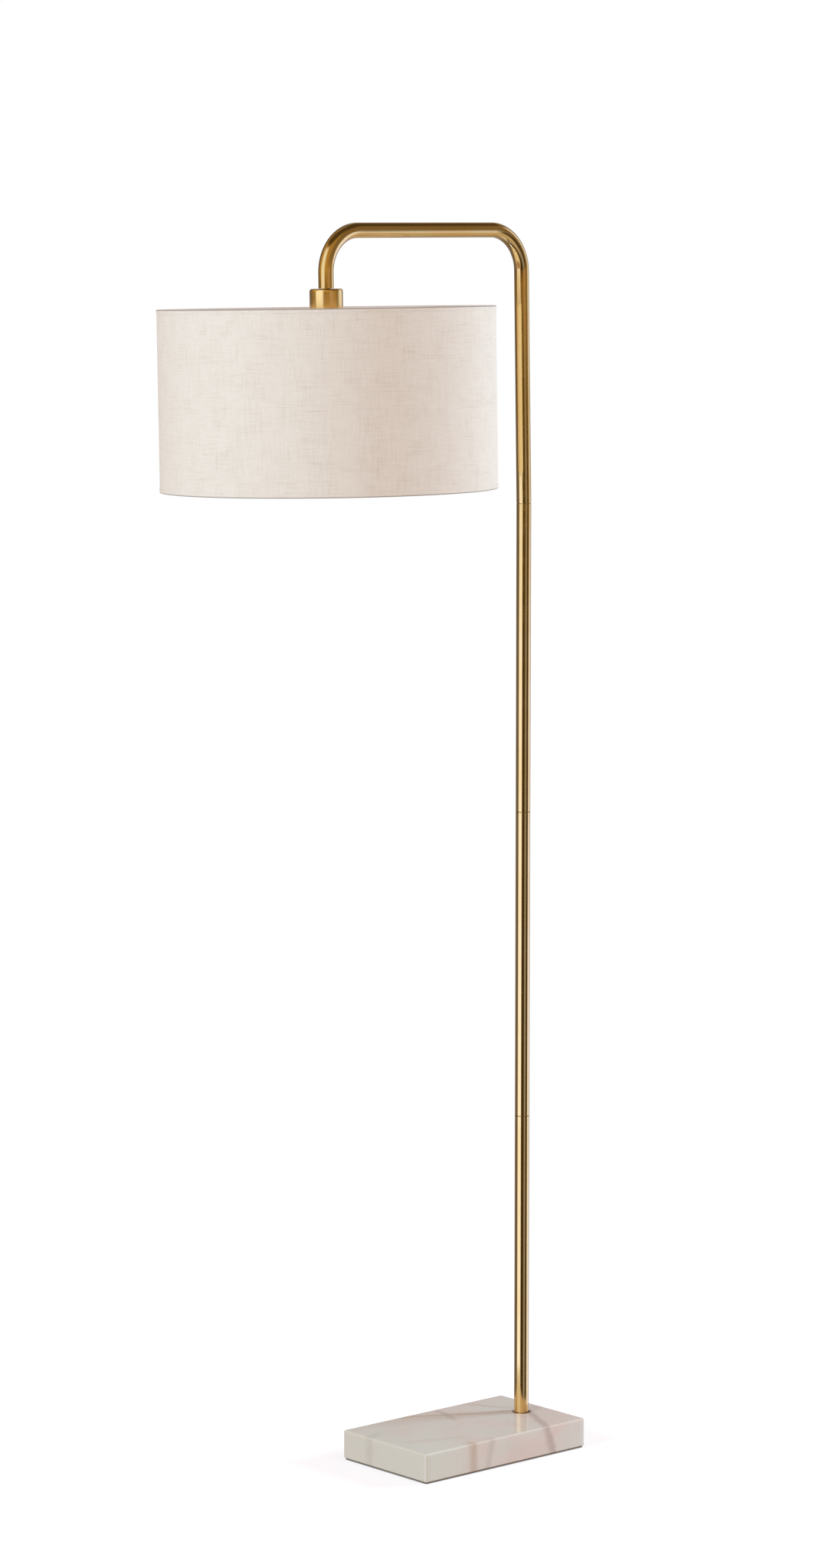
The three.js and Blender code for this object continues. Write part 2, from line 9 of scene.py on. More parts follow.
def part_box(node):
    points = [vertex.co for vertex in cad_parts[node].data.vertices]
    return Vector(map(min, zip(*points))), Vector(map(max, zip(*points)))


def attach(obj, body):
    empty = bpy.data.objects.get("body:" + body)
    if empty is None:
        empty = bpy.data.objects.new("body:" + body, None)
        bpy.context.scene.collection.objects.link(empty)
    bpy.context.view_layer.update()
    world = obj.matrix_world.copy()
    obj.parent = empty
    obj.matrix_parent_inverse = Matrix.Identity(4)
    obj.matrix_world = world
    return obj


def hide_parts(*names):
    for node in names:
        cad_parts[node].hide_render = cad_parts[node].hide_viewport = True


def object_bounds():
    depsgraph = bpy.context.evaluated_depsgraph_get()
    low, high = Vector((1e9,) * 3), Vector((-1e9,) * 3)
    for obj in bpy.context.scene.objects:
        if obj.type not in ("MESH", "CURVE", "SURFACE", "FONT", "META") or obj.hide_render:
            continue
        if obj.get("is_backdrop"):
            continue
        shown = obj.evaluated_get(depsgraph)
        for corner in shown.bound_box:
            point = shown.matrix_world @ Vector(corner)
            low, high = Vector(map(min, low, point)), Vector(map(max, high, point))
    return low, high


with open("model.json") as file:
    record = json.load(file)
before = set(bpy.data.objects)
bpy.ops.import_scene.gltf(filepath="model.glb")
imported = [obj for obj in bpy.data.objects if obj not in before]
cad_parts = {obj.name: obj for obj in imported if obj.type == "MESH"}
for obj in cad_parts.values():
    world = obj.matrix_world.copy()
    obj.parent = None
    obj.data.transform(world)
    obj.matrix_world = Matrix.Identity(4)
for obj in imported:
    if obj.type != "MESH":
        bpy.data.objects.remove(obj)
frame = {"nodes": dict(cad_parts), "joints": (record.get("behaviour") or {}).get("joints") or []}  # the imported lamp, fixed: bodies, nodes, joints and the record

# Arc floor lamp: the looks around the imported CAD. Metres, +Z up, the arm reaches towards -X.

CAD_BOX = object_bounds()
MM = 0.001
TAU = 2 * pi
GAP = 0.3 * MM  # between touching pieces, as in the CAD
FINE = 128  # sides of the pieces that the camera sees whole
SMALL = 64  # sides of the small turned pieces
SHARP = radians(40)  # edges that turn more than this look sharp


# ---- Places, from the frame ----
def middle(node):
    low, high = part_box(node)
    return (low + high) / 2


HEAD_UP = next(Vector(j["axis"]) for j in frame["joints"] if j["name"] == "shade_turn").normalized()
POLE_X = middle("lower_pole").x
ARCH_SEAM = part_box("upper_pole")[1].z + GAP / 2
PIVOT = Matrix.Translation((POLE_X, 0, ARCH_SEAM))
LEAN = PIVOT @ Matrix.Rotation(atan2(HEAD_UP.x, HEAD_UP.z), 4, "Y") @ PIVOT.inverted()


def upright_box(node):
    """Corners of a leaning CAD node once the arch stands straight."""
    points = [LEAN.inverted() @ v.co for v in frame["nodes"][node].data.vertices]
    low = Vector(min(p[i] for p in points) for i in range(3))
    high = Vector(max(p[i] for p in points) for i in range(3))
    return low, high


def span(node, leaning=True):
    """(outer radius, lowest z, highest z) of an upright round CAD node."""
    low, high = upright_box(node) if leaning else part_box(node)
    return (high.y - low.y) / 2, low.z, high.z


HEAD_X = sum(corner.x for corner in upright_box("socket_cup")) / 2
AT_HEAD = (HEAD_X, True)  # the axis that a piece is turned about, and whether it leans with the arch
AT_POLE = (POLE_X, False)


def add_object(name, data):
    made = bpy.data.objects.new(name, data)
    bpy.context.collection.objects.link(made)
    return made


# ---- Camera ----
CAMERA_AZIMUTH = radians(-41.2)  # 0 looks along +Y
CAMERA_ELEVATION = radians(6.1)
CAMERA_DISTANCE = 5.51
CAMERA_AIM = Vector((-0.0092, 0.096, 0.8732))
LENS = 97.2  # on a 36 mm sensor along the picture's long side


def towards(azimuth, elevation=0.0):
    """The direction from the lamp to something at that azimuth and elevation, in radians."""
    flat = cos(elevation)
    return Vector((sin(azimuth) * flat, -cos(azimuth) * flat, sin(elevation)))


def make_camera():
    data = bpy.data.cameras.new("camera")
    data.lens = LENS
    data.clip_end = 100
    camera = add_object("camera", data)
    back = towards(CAMERA_AZIMUTH, CAMERA_ELEVATION)
    camera.location = CAMERA_AIM + back * CAMERA_DISTANCE
    camera.rotation_euler = (-back).to_track_quat("-Z", "Y").to_euler()
    bpy.context.scene.camera = camera


make_camera()


# ---- Node trees ----
class Nodes:
    """Adds nodes to a material or world in short calls. A value is a number, a tuple or a node's socket."""

    def __init__(self, owner):
        owner.use_nodes = True
        self.tree = owner.node_tree
        self.tree.nodes.clear()

    def add(self, kind, inputs=(), **settings):
        node = self.tree.nodes.new("ShaderNode" + kind)
        for key, value in settings.items():
            setattr(node, key, value)
        for key, value in dict(inputs).items():
            self.feed(node.inputs[key], value)
        return node

    def feed(self, socket, value):
        if isinstance(value, bpy.types.NodeSocket):
            self.tree.links.new(value, socket)
        else:
            socket.default_value = value

    def math(self, operation, a, b=0.0, c=0.0, clamp=False):
        return self.add("Math", {0: a, 1: b, 2: c}, operation=operation, use_clamp=clamp).outputs[0]

    def plus(self, a, b, clamp=False):
        return self.math("ADD", a, b, clamp=clamp)

    def times(self, a, b, plus=0.0):
        """a times b, with plus added."""
        return self.math("MULTIPLY_ADD", a, b, plus)

    def vector(self, operation, a, b=(0, 0, 0)):
        second = "Scale" if operation == "SCALE" else 1
        node = self.add("VectorMath", {0: a, second: b}, operation=operation)
        return node.outputs["Value" if operation in ("DOT_PRODUCT", "LENGTH") else "Vector"]

    def axis(self, vector, letter):
        return self.add("SeparateXYZ", {0: vector}).outputs[letter]

    def noise(self, at, scale, detail=2.0, roughness=0.5, distortion=0.0):
        inputs = {"Vector": at, "Scale": scale, "Detail": detail, "Roughness": roughness}
        return self.add("TexNoise", {**inputs, "Distortion": distortion}).outputs[0]

    def remap(self, value, low, high, to_low=0.0, to_high=1.0):
        inputs = {0: value, 1: low, 2: high, 3: to_low, 4: to_high}
        return self.add("MapRange", inputs, interpolation_type="SMOOTHSTEP").outputs[0]

    def blend(self, factor, a, b):
        return self.add("Mix", {0: factor, 6: a, 7: b}, data_type="RGBA").outputs[2]

    def ramp(self, value, *stops):
        node = self.add("ValToRGB", {0: value})
        points = node.color_ramp.elements
        while len(points) < len(stops):
            points.new(1.0)
        for point, (place, colour) in zip(points, stops):
            point.position = place
            point.color = (*colour, 1)
        return node.outputs[0]

    def bump(self, height, distance, strength):
        return self.add("Bump", {"Height": height, "Distance": distance, "Strength": strength}).outputs[0]

    def object_place(self):
        return self.add("TexCoord").outputs["Object"]


class Look(Nodes):
    """A Principled material, whose sockets are set by name: base_color is Base Color."""

    def __init__(self, name, **sockets):
        self.made = bpy.data.materials.new(name)
        super().__init__(self.made)
        shader = self.add("BsdfPrincipled")
        self.add("OutputMaterial", {"Surface": shader.outputs[0]})
        self.out = shader.inputs
        for key, value in sockets.items():
            self.feed(self.out[key.replace("_", " ").title().replace("Ior", "IOR")], value)

    def grain(self):
        """Coordinates squeezed along the direction in which the metal was brushed."""
        return self.add("Attribute", attribute_name="grain").outputs["Vector"]

    def surface_place(self):
        """Metres along and across the sheet, from the mesh's own map."""
        return self.add("UVMap", uv_map="surface").outputs[0]

    def finish(self, tone, relief, depth, strength, rough=None):
        """Connects the colour, the bump and the roughness, and gives the material."""
        self.feed(self.out["Base Color"], tone)
        self.feed(self.out["Normal"], self.bump(relief, depth, strength))
        if rough:
            self.feed(self.out["Roughness"], rough)
        return self.made


# ---- Materials ----
BRASS = (0.84, 0.585, 0.245, 1)
BRASS_DEEP = (0.80, 0.53, 0.195, 1)
BRASS_BOUNCE_LIT = (1.0, 0.70, 0.29, 1)
BRASS_DARK = (0.64, 0.40, 0.13, 1)
SEAM_DARK = (0.16, 0.10, 0.045, 1)


def brass(name, seams=(), satin=0.0, bounce_light=0.0):
    """Lacquered brass with fine brushing, a cloudy patina, faint smudges, and a thin darker band beside the
    seams.

    satin is added to its roughness. The last argument lightens the colour, painting the light that the shade
    throws back on the metal."""
    n = Look(name, metallic=1.0, coat_weight=0.25, coat_roughness=0.06)
    place = n.object_place()
    grain = n.grain()
    cloud = n.noise(place, 14, 4, 0.6)
    brushed = n.noise(grain, 1500, 2, 0.5)
    scratch = n.remap(n.noise(grain, 700, 2, 0.5), 0.66, 0.80)
    smudge = n.remap(n.noise(place, 55, 3, 0.55, 0.6), 0.45, 0.7)
    tone = n.blend(n.remap(cloud, 0.35, 0.7), BRASS, BRASS_DEEP)
    tone = n.blend(n.times(brushed, 0.12), tone, BRASS_DARK)
    # Painted light: lighter colour for the light that the shade throws back on the metal.
    if bounce_light:
        tone = n.blend(n.times(cloud, 0.2, bounce_light), tone, BRASS_BOUNCE_LIT)
    height = n.axis(place, "Z")
    # A thin darker band at each seam.
    for seam in seams:
        off = n.math("ABSOLUTE", n.plus(height, -seam))
        tone = n.blend(n.remap(off, 0.3 * MM, 1.2 * MM, 0.3, 0.0), tone, SEAM_DARK)
    rough = n.times(smudge, 0.04, n.times(brushed, 0.05, 0.09 + satin))
    rough = n.times(scratch, 0.05, rough)
    return n.finish(tone, n.times(scratch, 0.5, brushed), 0.002 * MM, 0.15, rough)


def metal(name, colour, dull, rough=0.3):
    """Turned steel or nickel plate, by its clean and dull colours."""
    n = Look(name, metallic=1.0)
    brushed = n.noise(n.grain(), 1800, 3, 0.6)
    cloud = n.noise(n.object_place(), 90, 4, 0.6)
    tone = n.blend(n.remap(cloud, 0.4, 0.7), (*colour, 1), (*dull, 1))
    return n.finish(tone, brushed, 0.01 * MM, 0.4, n.times(brushed, 0.15, rough - 0.06))


def enamel(name):
    """Cream enamel on the shade's wire frame, a little uneven where it pooled."""
    n = Look(name, coat_weight=0.25, coat_roughness=0.2)
    place = n.object_place()
    pooled = n.noise(place, 160, 3, 0.5)
    chipped = n.remap(n.noise(place, 420, 3, 0.6), 0.70, 0.74)
    cream = n.blend(pooled, (0.80, 0.77, 0.71, 1), (0.70, 0.67, 0.61, 1))
    tone = n.blend(n.times(chipped, 0.5), cream, (0.38, 0.35, 0.31, 1))
    return n.finish(tone, pooled, 0.05 * MM, 0.4, n.times(pooled, 0.2, 0.32))


THREAD_PITCH = 0.85 * MM
FLAT_THREAD = 0.04  # how much the noise is squeezed along a thread
LINEN_LIGHT = (0.94, 0.915, 0.875, 1)
LINEN_SHADED = (0.70, 0.635, 0.565, 1)
LINEN_HOLLOW_SHADE = (0.52, 0.46, 0.39, 1)
LINEN_ROLL_SHADE = (0.33, 0.31, 0.315, 1)


def linen(name, edge=None):
    """Plain-woven slubby linen. The threads run along the two directions of the mesh's own map.

    edge is the distance up the map past which the folded tape turns over the rim, where a grey band of
    painted shade lies along the roll."""
    n = Look(name, sheen_weight=0.2, sheen_roughness=0.5, sheen_tint=(1.0, 0.98, 0.95, 1), roughness=0.9)
    place = n.surface_place()
    wander = n.add("TexNoise", {"Vector": place, "Scale": 60.0}).outputs["Color"]
    woven = n.vector("ADD", place, n.vector("SCALE", wander, 0.8 * MM))
    upright = n.vector("MULTIPLY", woven, (1, FLAT_THREAD, 1))
    level = n.vector("MULTIPLY", woven, (FLAT_THREAD, 1, 1))
    threads = [n.remap(n.noise(way, 1500, 2, 0.6), 0.35, 0.7) for way in (upright, level)]
    threads = n.plus(*threads)
    slubs = n.plus(n.remap(n.noise(upright, 800), 0.52, 0.70), n.remap(n.noise(level, 800), 0.53, 0.70))
    cross = n.times(ridge(n, n.axis(woven, "X")), ridge(n, n.axis(woven, "Y")))
    cloud = n.remap(n.noise(place, 34, 3, 0.5), 0.36, 0.66)
    slubs = n.times(slubs, n.times(cloud, 0.8, 0.45))
    depth = n.times(threads, 0.17, n.times(slubs, 0.22))
    depth = n.plus(n.times(cloud, 0.05), depth, clamp=True)
    tone = n.blend(depth, LINEN_LIGHT, LINEN_SHADED)
    # Painted shade in the weave's hollows, where its relief is lowest.
    tone = n.blend(n.remap(cross, -0.9, 0.2, 0.22, 0.0), tone, LINEN_HOLLOW_SHADE)
    # Painted shade: a grey band along the hem's roll over the rim.
    if edge:
        along = n.axis(place, "Y")
        turned_over = n.remap(along, edge - 1.2 * MM, edge, 0.0, 0.85)
        past_roll = n.remap(along, edge + 2.2 * MM, edge + 3.4 * MM, 1.0, 0.25)
        tone = n.blend(n.times(turned_over, past_roll), tone, LINEN_ROLL_SHADE)
    return n.finish(tone, n.times(cross, 0.5, n.times(slubs, 0.7, threads)), 0.10 * MM, 0.5)


def ridge(n, along):
    """A wave with one crest for each thread."""
    return n.math("COSINE", n.times(along, TAU / THREAD_PITCH))


def styrene(name):
    """The translucent white film that stiffens the shade, faintly marked by the cloth glued to it."""
    n = Look(name, ior=1.5)
    place = n.surface_place()
    marks = [n.noise(n.vector("MULTIPLY", place, way), 600, 3, 0.6) for way in ((1, 0.05, 1), (0.05, 1, 1))]
    print_through = n.times(n.plus(*marks), 0.5)
    cloud = n.noise(n.object_place(), 12, 3)
    tone = n.blend(cloud, (0.90, 0.89, 0.86, 1), (0.84, 0.82, 0.78, 1))
    tone = n.blend(n.remap(print_through, 0.46, 0.66, 0.0, 0.28), tone, (0.62, 0.575, 0.51, 1))
    return n.finish(tone, n.plus(print_through, cloud), 0.05 * MM, 0.3, n.times(print_through, 0.2, 0.42))


def moulding(name, colour=(0.022, 0.020, 0.019), rough=0.3):
    """Dark moulded resin with flow marks, fine scuffs and dust in its texture."""
    n = Look(name, ior=1.55)
    place = n.object_place()
    flow = n.noise(place, 120, 4, 0.6, 0.8)
    scuff = n.remap(n.noise(place, 900, 3, 0.7), 0.60, 0.72)
    lighter = [1.7 * c for c in colour]
    dusty = [3 * c + 0.02 for c in colour]
    tone = n.blend(n.remap(flow, 0.35, 0.75), (*colour, 1), (*lighter, 1))
    tone = n.blend(n.times(scuff, 0.3), tone, (*dusty, 1))
    rough = n.times(scuff, 0.2, n.times(flow, 0.15, rough - 0.06))
    return n.finish(tone, n.plus(flow, scuff), 0.02 * MM, 0.4, rough)


def felt(name):
    """Pressed dark grey felt: tangled fibres and lint."""
    n = Look(name, roughness=1.0, sheen_weight=0.5, sheen_roughness=0.6)
    place = n.object_place()
    fibre = n.noise(place, 1500, 5, 0.75, 1.5)
    lint = n.remap(n.noise(place, 500, 3, 0.6, 2.0), 0.66, 0.70)
    pressed = n.remap(n.noise(place, 75, 4, 0.65, 0.8), 0.38, 0.66)
    grey = n.blend(n.remap(fibre, 0.3, 0.7), (0.13, 0.125, 0.12, 1), (0.27, 0.26, 0.245, 1))
    grey = n.blend(n.times(pressed, 0.35), grey, (0.11, 0.105, 0.10, 1))
    tone = n.blend(n.times(lint, 0.35), grey, (0.36, 0.345, 0.32, 1))
    return n.finish(tone, fibre, 0.25 * MM, 0.8)


def opal_glass(name):
    """A soft-white bulb: glass whose inside is powder-coated."""
    n = Look(name, ior=1.5, coat_weight=1.0, coat_roughness=0.04)
    place = n.object_place()
    powder = n.noise(place, 260, 4, 0.6)
    tone = n.blend(n.noise(place, 24), (0.95, 0.945, 0.93, 1), (0.90, 0.89, 0.87, 1))
    return n.finish(tone, powder, 0.01 * MM, 0.3, n.times(powder, 0.15, 0.35))


# Each vein is a sheet through the stone: a point on the slab's top, its direction there in degrees from +X,
# how far it slants in X for each metre down, half its width, its stretch from low to high along that
# direction, its strength and its colour.
TAN = (0.50, 0.40, 0.29)
GREY = (0.42, 0.40, 0.375)
VEINS = [
    ((0.041, 0.0354), 152.0, 0.0, 0.0042, (-0.052, 0.190), 0.60, TAN),
    ((-0.0594, -0.0815), 110.0, -0.06, 0.0115, (-0.30, 0.012), 0.66, (0.58, 0.45, 0.36)),
    ((-0.0250, -0.0815), 95.0, 0.20, 0.0100, (-0.2, 0.010), 0.30, GREY),
    ((0.0695, -0.0815), 63.0, -0.30, 0.0095, (-0.20, 0.090), 0.50, (0.40, 0.31, 0.275)),
    ((0.0850, 0.0500), 118.0, 0.0, 0.0070, (-0.030, 0.09), 0.34, (0.50, 0.42, 0.39)),
    ((-0.0747, -0.0366), 160.0, 0.4, 0.0140, (-0.030, 0.05), 0.20, (0.60, 0.50, 0.46)),
    ((0.0200, 0.0815), 75.0, 0.35, 0.0080, (-0.06, 0.3), 0.40, GREY),
    ((-0.1390, 0.0300), 20.0, 0.0, 0.0110, (-0.2, 0.030), 0.20, GREY),
]
CLOUDS = ((0.38, (0.725, 0.74, 0.70)), (0.50, (0.76, 0.72, 0.685)), (0.62, (0.76, 0.66, 0.62)))
MARBLE_DULL = (0.67, 0.645, 0.61, 1)
MARBLE_CRYSTAL = (0.84, 0.83, 0.81, 1)
MARBLE_KEY_LIT = (0.755, 0.80, 0.755, 1)
WANDER = 14 * MM  # how far a vein strays from its sheet, in all
RAGGED = 4 * MM


def marble(name, top):
    """Polished pale marble: warm and cool clouds, with soft-edged veins that run through the whole slab, and
    painted cool light on its left end.
    """
    n = Look(name, ior=1.48, coat_weight=0.25, coat_roughness=0.03, subsurface_weight=0.35,
             subsurface_radius=(1.0, 0.9, 0.75), subsurface_scale=4 * MM)
    place = n.object_place()
    mottle = n.noise(place, 34, 4, 0.55, 0.5)
    crystal = n.noise(place, 1400, 3, 0.7)
    tone = n.ramp(n.noise(place, 9, 5, 0.6, 0.7), *CLOUDS)
    tone = n.blend(n.remap(mottle, 0.42, 0.72, 0.0, 0.35), tone, MARBLE_DULL)
    tone = n.blend(n.times(crystal, 0.12), tone, MARBLE_CRYSTAL)
    # Painted light: the slab's left end, which faces the cool key light, is tinted cooler.
    end = n.axis(n.vector("ADD", place, n.vector("SCALE", tone, 0.05)), "X")
    tone = n.blend(n.remap(end, -0.11, 0.03, 0.8, 0.0), tone, MARBLE_KEY_LIT)
    wander = n.noise(place, 26, 4, 0.6)
    ragged = n.noise(place, 150, 5, 0.7)
    for vein in VEINS:
        tone = add_vein(n, tone, place, top, wander, ragged, *vein)
    return n.finish(tone, mottle, 0.02 * MM, 0.15, n.times(mottle, 0.10, 0.10))


def add_vein(n, tone, place, top, wander, ragged, point, heading, slant, width, stretch, strength, colour):
    along = Vector((cos(radians(heading)), sin(radians(heading)), 0))
    across = Vector((-along.y, along.x, slant))
    start = Vector((*point, top))
    off = n.plus(n.vector("DOT_PRODUCT", place, across), -start.dot(across))
    off = n.plus(off, n.times(wander, WANDER, -WANDER / 2))
    off = n.plus(off, n.times(ragged, RAGGED, -RAGGED / 2))
    body = n.remap(n.math("ABSOLUTE", off), 0.0, width, strength, 0.0)
    line = n.remap(n.math("ABSOLUTE", n.plus(off, width / 3)), 0.0, width / 3, strength / 4, 0.0)
    run = n.plus(n.vector("DOT_PRODUCT", place, along), -start.dot(along))
    begin = n.remap(run, stretch[0] - 0.01, stretch[0] + 0.01)
    end = n.remap(run, stretch[1] - 0.012, stretch[1] + 0.008, 1.0, 0.0)
    broken = n.remap(ragged, 0.2, 0.6, 0.7, 1.0)
    amount = n.times(n.plus(body, line), n.times(begin, end))
    return n.blend(n.math("MULTIPLY", amount, broken, clamp=True), tone, (*colour, 1))


def make_looks():
    """Each look's slot in the record and its material."""
    seams = [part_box(node)[1].z + GAP / 2 for node in ("lower_pole", "middle_pole", "upper_pole")]
    steel = metal("steel", (0.50, 0.50, 0.50), (0.40, 0.385, 0.37))
    nickel = metal("nickel", (0.66, 0.64, 0.60), (0.55, 0.52, 0.48), 0.22)
    return {
        "marble": ("marble", marble("marble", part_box("marble_base")[1].z)),
        "felt": ("felt", felt("felt")),
        "moulding": ("phenolic", moulding("moulding")),
        "brass_pole": ("brass", brass("brass_pole", seams)),
        "brass_arch": ("brass", brass("brass_arch")),
        # The cup gets painted bounce light from the shade under it.
        "brass_cup": ("brass", brass("brass_cup", satin=0.03, bounce_light=0.8)),
        "brass_foot": ("brass", brass("brass_foot")),
        "steel": ("steel", steel),
        "nickel": ("nickel", nickel),
        "enamel": ("wire", enamel("enamel")),
        "linen": ("linen", linen("linen")),
        "tape": ("linen", linen("tape", edge=4.4 * MM)),
        "styrene": ("liner", styrene("styrene")),
        "glass": ("glass", opal_glass("opal_glass")),
        "lead": ("lead_cover", moulding("lead_cover", (0.05, 0.035, 0.022), 0.4)),
    }


LOOKS = make_looks()

# ---- Meshes ----
SUPPORT = 0.3  # of a corner's radius: where a point keeps the flat beside the corner flat when shaded


def rounded(corners, steps=5):
    """A closed outline of (x, y, radius) corners, as points, with each corner rounded by its radius."""
    points = []
    for index, (x, y, radius) in enumerate(corners):
        here = Vector((x, y))
        if not radius:
            points.append(here)
            continue
        back = (Vector(corners[index - 1][:2]) - here).normalized()
        ahead = (Vector(corners[(index + 1) % len(corners)][:2]) - here).normalized()
        half = acos(back.dot(ahead)) / 2
        centre = here + (back + ahead).normalized() * radius / sin(half)
        spoke = here + back * radius / tan(half) - centre
        side = 1 if back.cross(ahead) < 0 else -1
        points.append(centre + spoke + back * radius * SUPPORT)
        for step in range(steps + 1):
            turn = Matrix.Rotation(side * (pi - 2 * half) * step / steps, 2)
            points.append(centre + turn @ spoke)
        points.append(points[-1] + ahead * radius * SUPPORT)
    return points


def soften(mesh):
    mesh.shade_smooth()
    mesh.set_sharp_from_angle(angle=SHARP)
    return mesh


def add_mesh(name, bm):
    mesh = bpy.data.meshes.new(name)
    bm.to_mesh(mesh)
    bm.free()
    return add_object(name, soften(mesh))


def skin(name, rings, wrap=True, caps=False, map_size=None, grain=None):
    """A mesh through rings of points, each ring closed. wrap joins the last ring to the first, and caps
    closes both ends with a flat face instead.

    map_size is (length round the first ring, lengths along), for the map named surface.
    grain(ring, side) is the squeezed coordinate of a point, for the attribute named grain."""
    bm = bmesh.new()
    grid = [[bm.verts.new(point) for point in ring] for ring in rings]
    sides = len(rings[0])
    uv = bm.loops.layers.uv.new("surface")
    squeezed = bm.loops.layers.float_vector.new("grain")
    if caps:
        bm.faces.new(grid[0][::-1])
        bm.faces.new(grid[-1])
    for i in range(len(rings) if wrap and not caps else len(rings) - 1):
        for j in range(sides):
            cells = [(i, j), (i, j + 1), (i + 1, j + 1), (i + 1, j)]
            face = bm.faces.new([grid[a % len(rings)][b % sides] for a, b in cells])
            for loop, (a, b) in zip(face.loops, cells):
                if map_size:
                    loop[uv].uv = (map_size[0] * b / sides, map_size[1][a])
                if grain:
                    loop[squeezed] = grain(a % len(rings), b % sides)
    bmesh.ops.remove_doubles(bm, verts=bm.verts, dist=1e-7)
    bmesh.ops.dissolve_degenerate(bm, edges=bm.edges, dist=1e-8)
    bmesh.ops.recalc_face_normals(bm, faces=bm.faces)
    return add_mesh(name, bm)


def lengths(points):
    """The distance along a line of points to each of them, and all the way round to the first."""
    total, found = 0.0, [0.0]
    for a, b in zip(points, points[1:] + points[:1]):
        total += (b - a).length
        found.append(total)
    return found


BRUSH = 0.008  # how much a brushed surface is squeezed along the brushing


def swept(name, at, outline, sides=FINE, bend=None, brushed="round"):
    """A round piece along a line, from an outline of (radius, distance) points, anticlockwise.

    at(distance) gives the middle there and the two directions across it. bend(radius, distance, angle)
    changes the radius, for flutes, ribs and threads. An outline that starts on the line makes a solid."""
    angles = [TAU * side / sides for side in range(sides)]
    rings = []
    for radius, distance in outline:
        centre, across, up = at(distance)
        spokes = [bend(radius, distance, a) if bend else radius for a in angles]
        rings.append([centre + r * (cos(a) * across + sin(a) * up) for r, a in zip(spokes, angles)])
    along = lengths([Vector(p) for p in outline])

    def grain(i, j):
        radius, distance = outline[i]
        x, y = radius * cos(angles[j]), radius * sin(angles[j])
        if brushed == "along":
            return Vector((x, y, distance * BRUSH))
        return Vector((x * BRUSH, y * BRUSH, along[i]))

    size = (TAU * max(p[0] for p in outline), along)
    return skin(name, rings, wrap=outline[0][0] > 0, map_size=size, grain=grain)


def turned(name, outline, **shape):
    """A piece turned about Z from an outline of (radius, z) points, anticlockwise from below."""
    across, up = Vector((1, 0, 0)), Vector((0, 1, 0))
    return swept(name, lambda z: (Vector((0, 0, z)), across, up), outline, **shape)


def route(corners, radius, steps):
    """A line through (x, z) corners, each bent by a radius, as stations of (distance, middle, across)."""
    inner = [(x, z, radius) for x, z in corners[1:-1]]
    line = rounded([(*corners[0], 0), *inner, (*corners[-1], 0)], steps)
    ends = [line[0] * 2 - line[1], *line, line[-1] * 2 - line[-2]]
    stations = []
    for here, distance, before, after in zip(line, lengths(line), ends, ends[2:]):
        ahead = (after - before).normalized()
        stations.append((distance, Vector((here.x, 0, here.y)), Vector((ahead.y, 0, -ahead.x))))
    return stations


def on_route(stations, distance):
    """The middle of a route at a distance along it, and the two directions across."""
    last = len(stations) - 2
    index = min(last, max(i for i, s in enumerate(stations) if s[0] <= distance + 1e-9))
    (start, a, across_a), (end, b, across_b) = stations[index:index + 2]
    share = (distance - start) / (end - start)
    return a.lerp(b, share), across_a.lerp(across_b, share).normalized(), Vector((0, 1, 0))


def block(name, low, high, ease=0.0):
    """A box. ease rounds its edges and brushes it along X."""
    bm = bmesh.new()
    bmesh.ops.create_cube(bm, size=1)
    size = Matrix.Diagonal((*(high - low), 1))
    bmesh.ops.transform(bm, matrix=Matrix.Translation((low + high) / 2) @ size, verts=bm.verts)
    if ease:
        bmesh.ops.bevel(bm, geom=bm.edges, offset=ease, segments=3, profile=0.5, affect="EDGES")
        squeezed = bm.loops.layers.float_vector.new("grain")
        for loop in (loop for face in bm.faces for loop in face.loops):
            x, y, z = loop.vert.co
            loop[squeezed] = (x * BRUSH, y, z)
    return add_mesh(name, bm)


def put(piece, x, y=0.0, leaning=True):
    """Moves a piece's mesh to x, y, and leans it with the arch."""
    move = Matrix.Translation((x, y, 0))
    piece.data.transform(LEAN @ move if leaning else move)
    return piece


def finish_piece(piece, body, look, *nodes):
    """Gives a piece its material and its body, and hides the CAD nodes that it stands for."""
    slot, made = LOOKS[look]
    piece.data.materials.clear()
    piece.data.materials.append(made)
    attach(piece, body)
    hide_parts(*nodes)
    return piece


def subtract(piece, cutter):
    """Cuts one mesh out of another and removes the cutter."""
    cut = piece.modifiers.new("cut", "BOOLEAN")
    cut.operation = "DIFFERENCE"
    cut.solver = "EXACT"
    cut.object = cutter
    graph = bpy.context.evaluated_depsgraph_get()
    shape = piece.evaluated_get(graph)
    mesh = bpy.data.meshes.new_from_object(shape, preserve_all_data_layers=True, depsgraph=graph)
    piece.modifiers.clear()
    piece.data = soften(mesh)
    bpy.data.objects.remove(cutter)
    return piece


# ---- Slab, pad and grommet ----
CORNER_STEPS = 6
EDGE_STEPS = 6
SLAB_QUARTERS = ((1, -1), (1, 1), (-1, 1), (-1, -1))  # the side of the middle that each corner is on
SIDE_CUTS = (24, 44, 24, 44)  # pieces of the side after each corner
SLAB_CORNER = 3.2 * MM
SLAB_EDGE = 2.2 * MM
LEAST_CORNER = 0.4 * MM
RECESS = (12.3 * MM, 6 * MM)  # radius and depth, round the pole's foot
POCKET = (24 * MM, 22 * MM)  # in the underside, for the clamping nut
SLAB_BORE = 6.5 * MM
CHANNEL = 9 * MM  # width and depth of the lead's channel


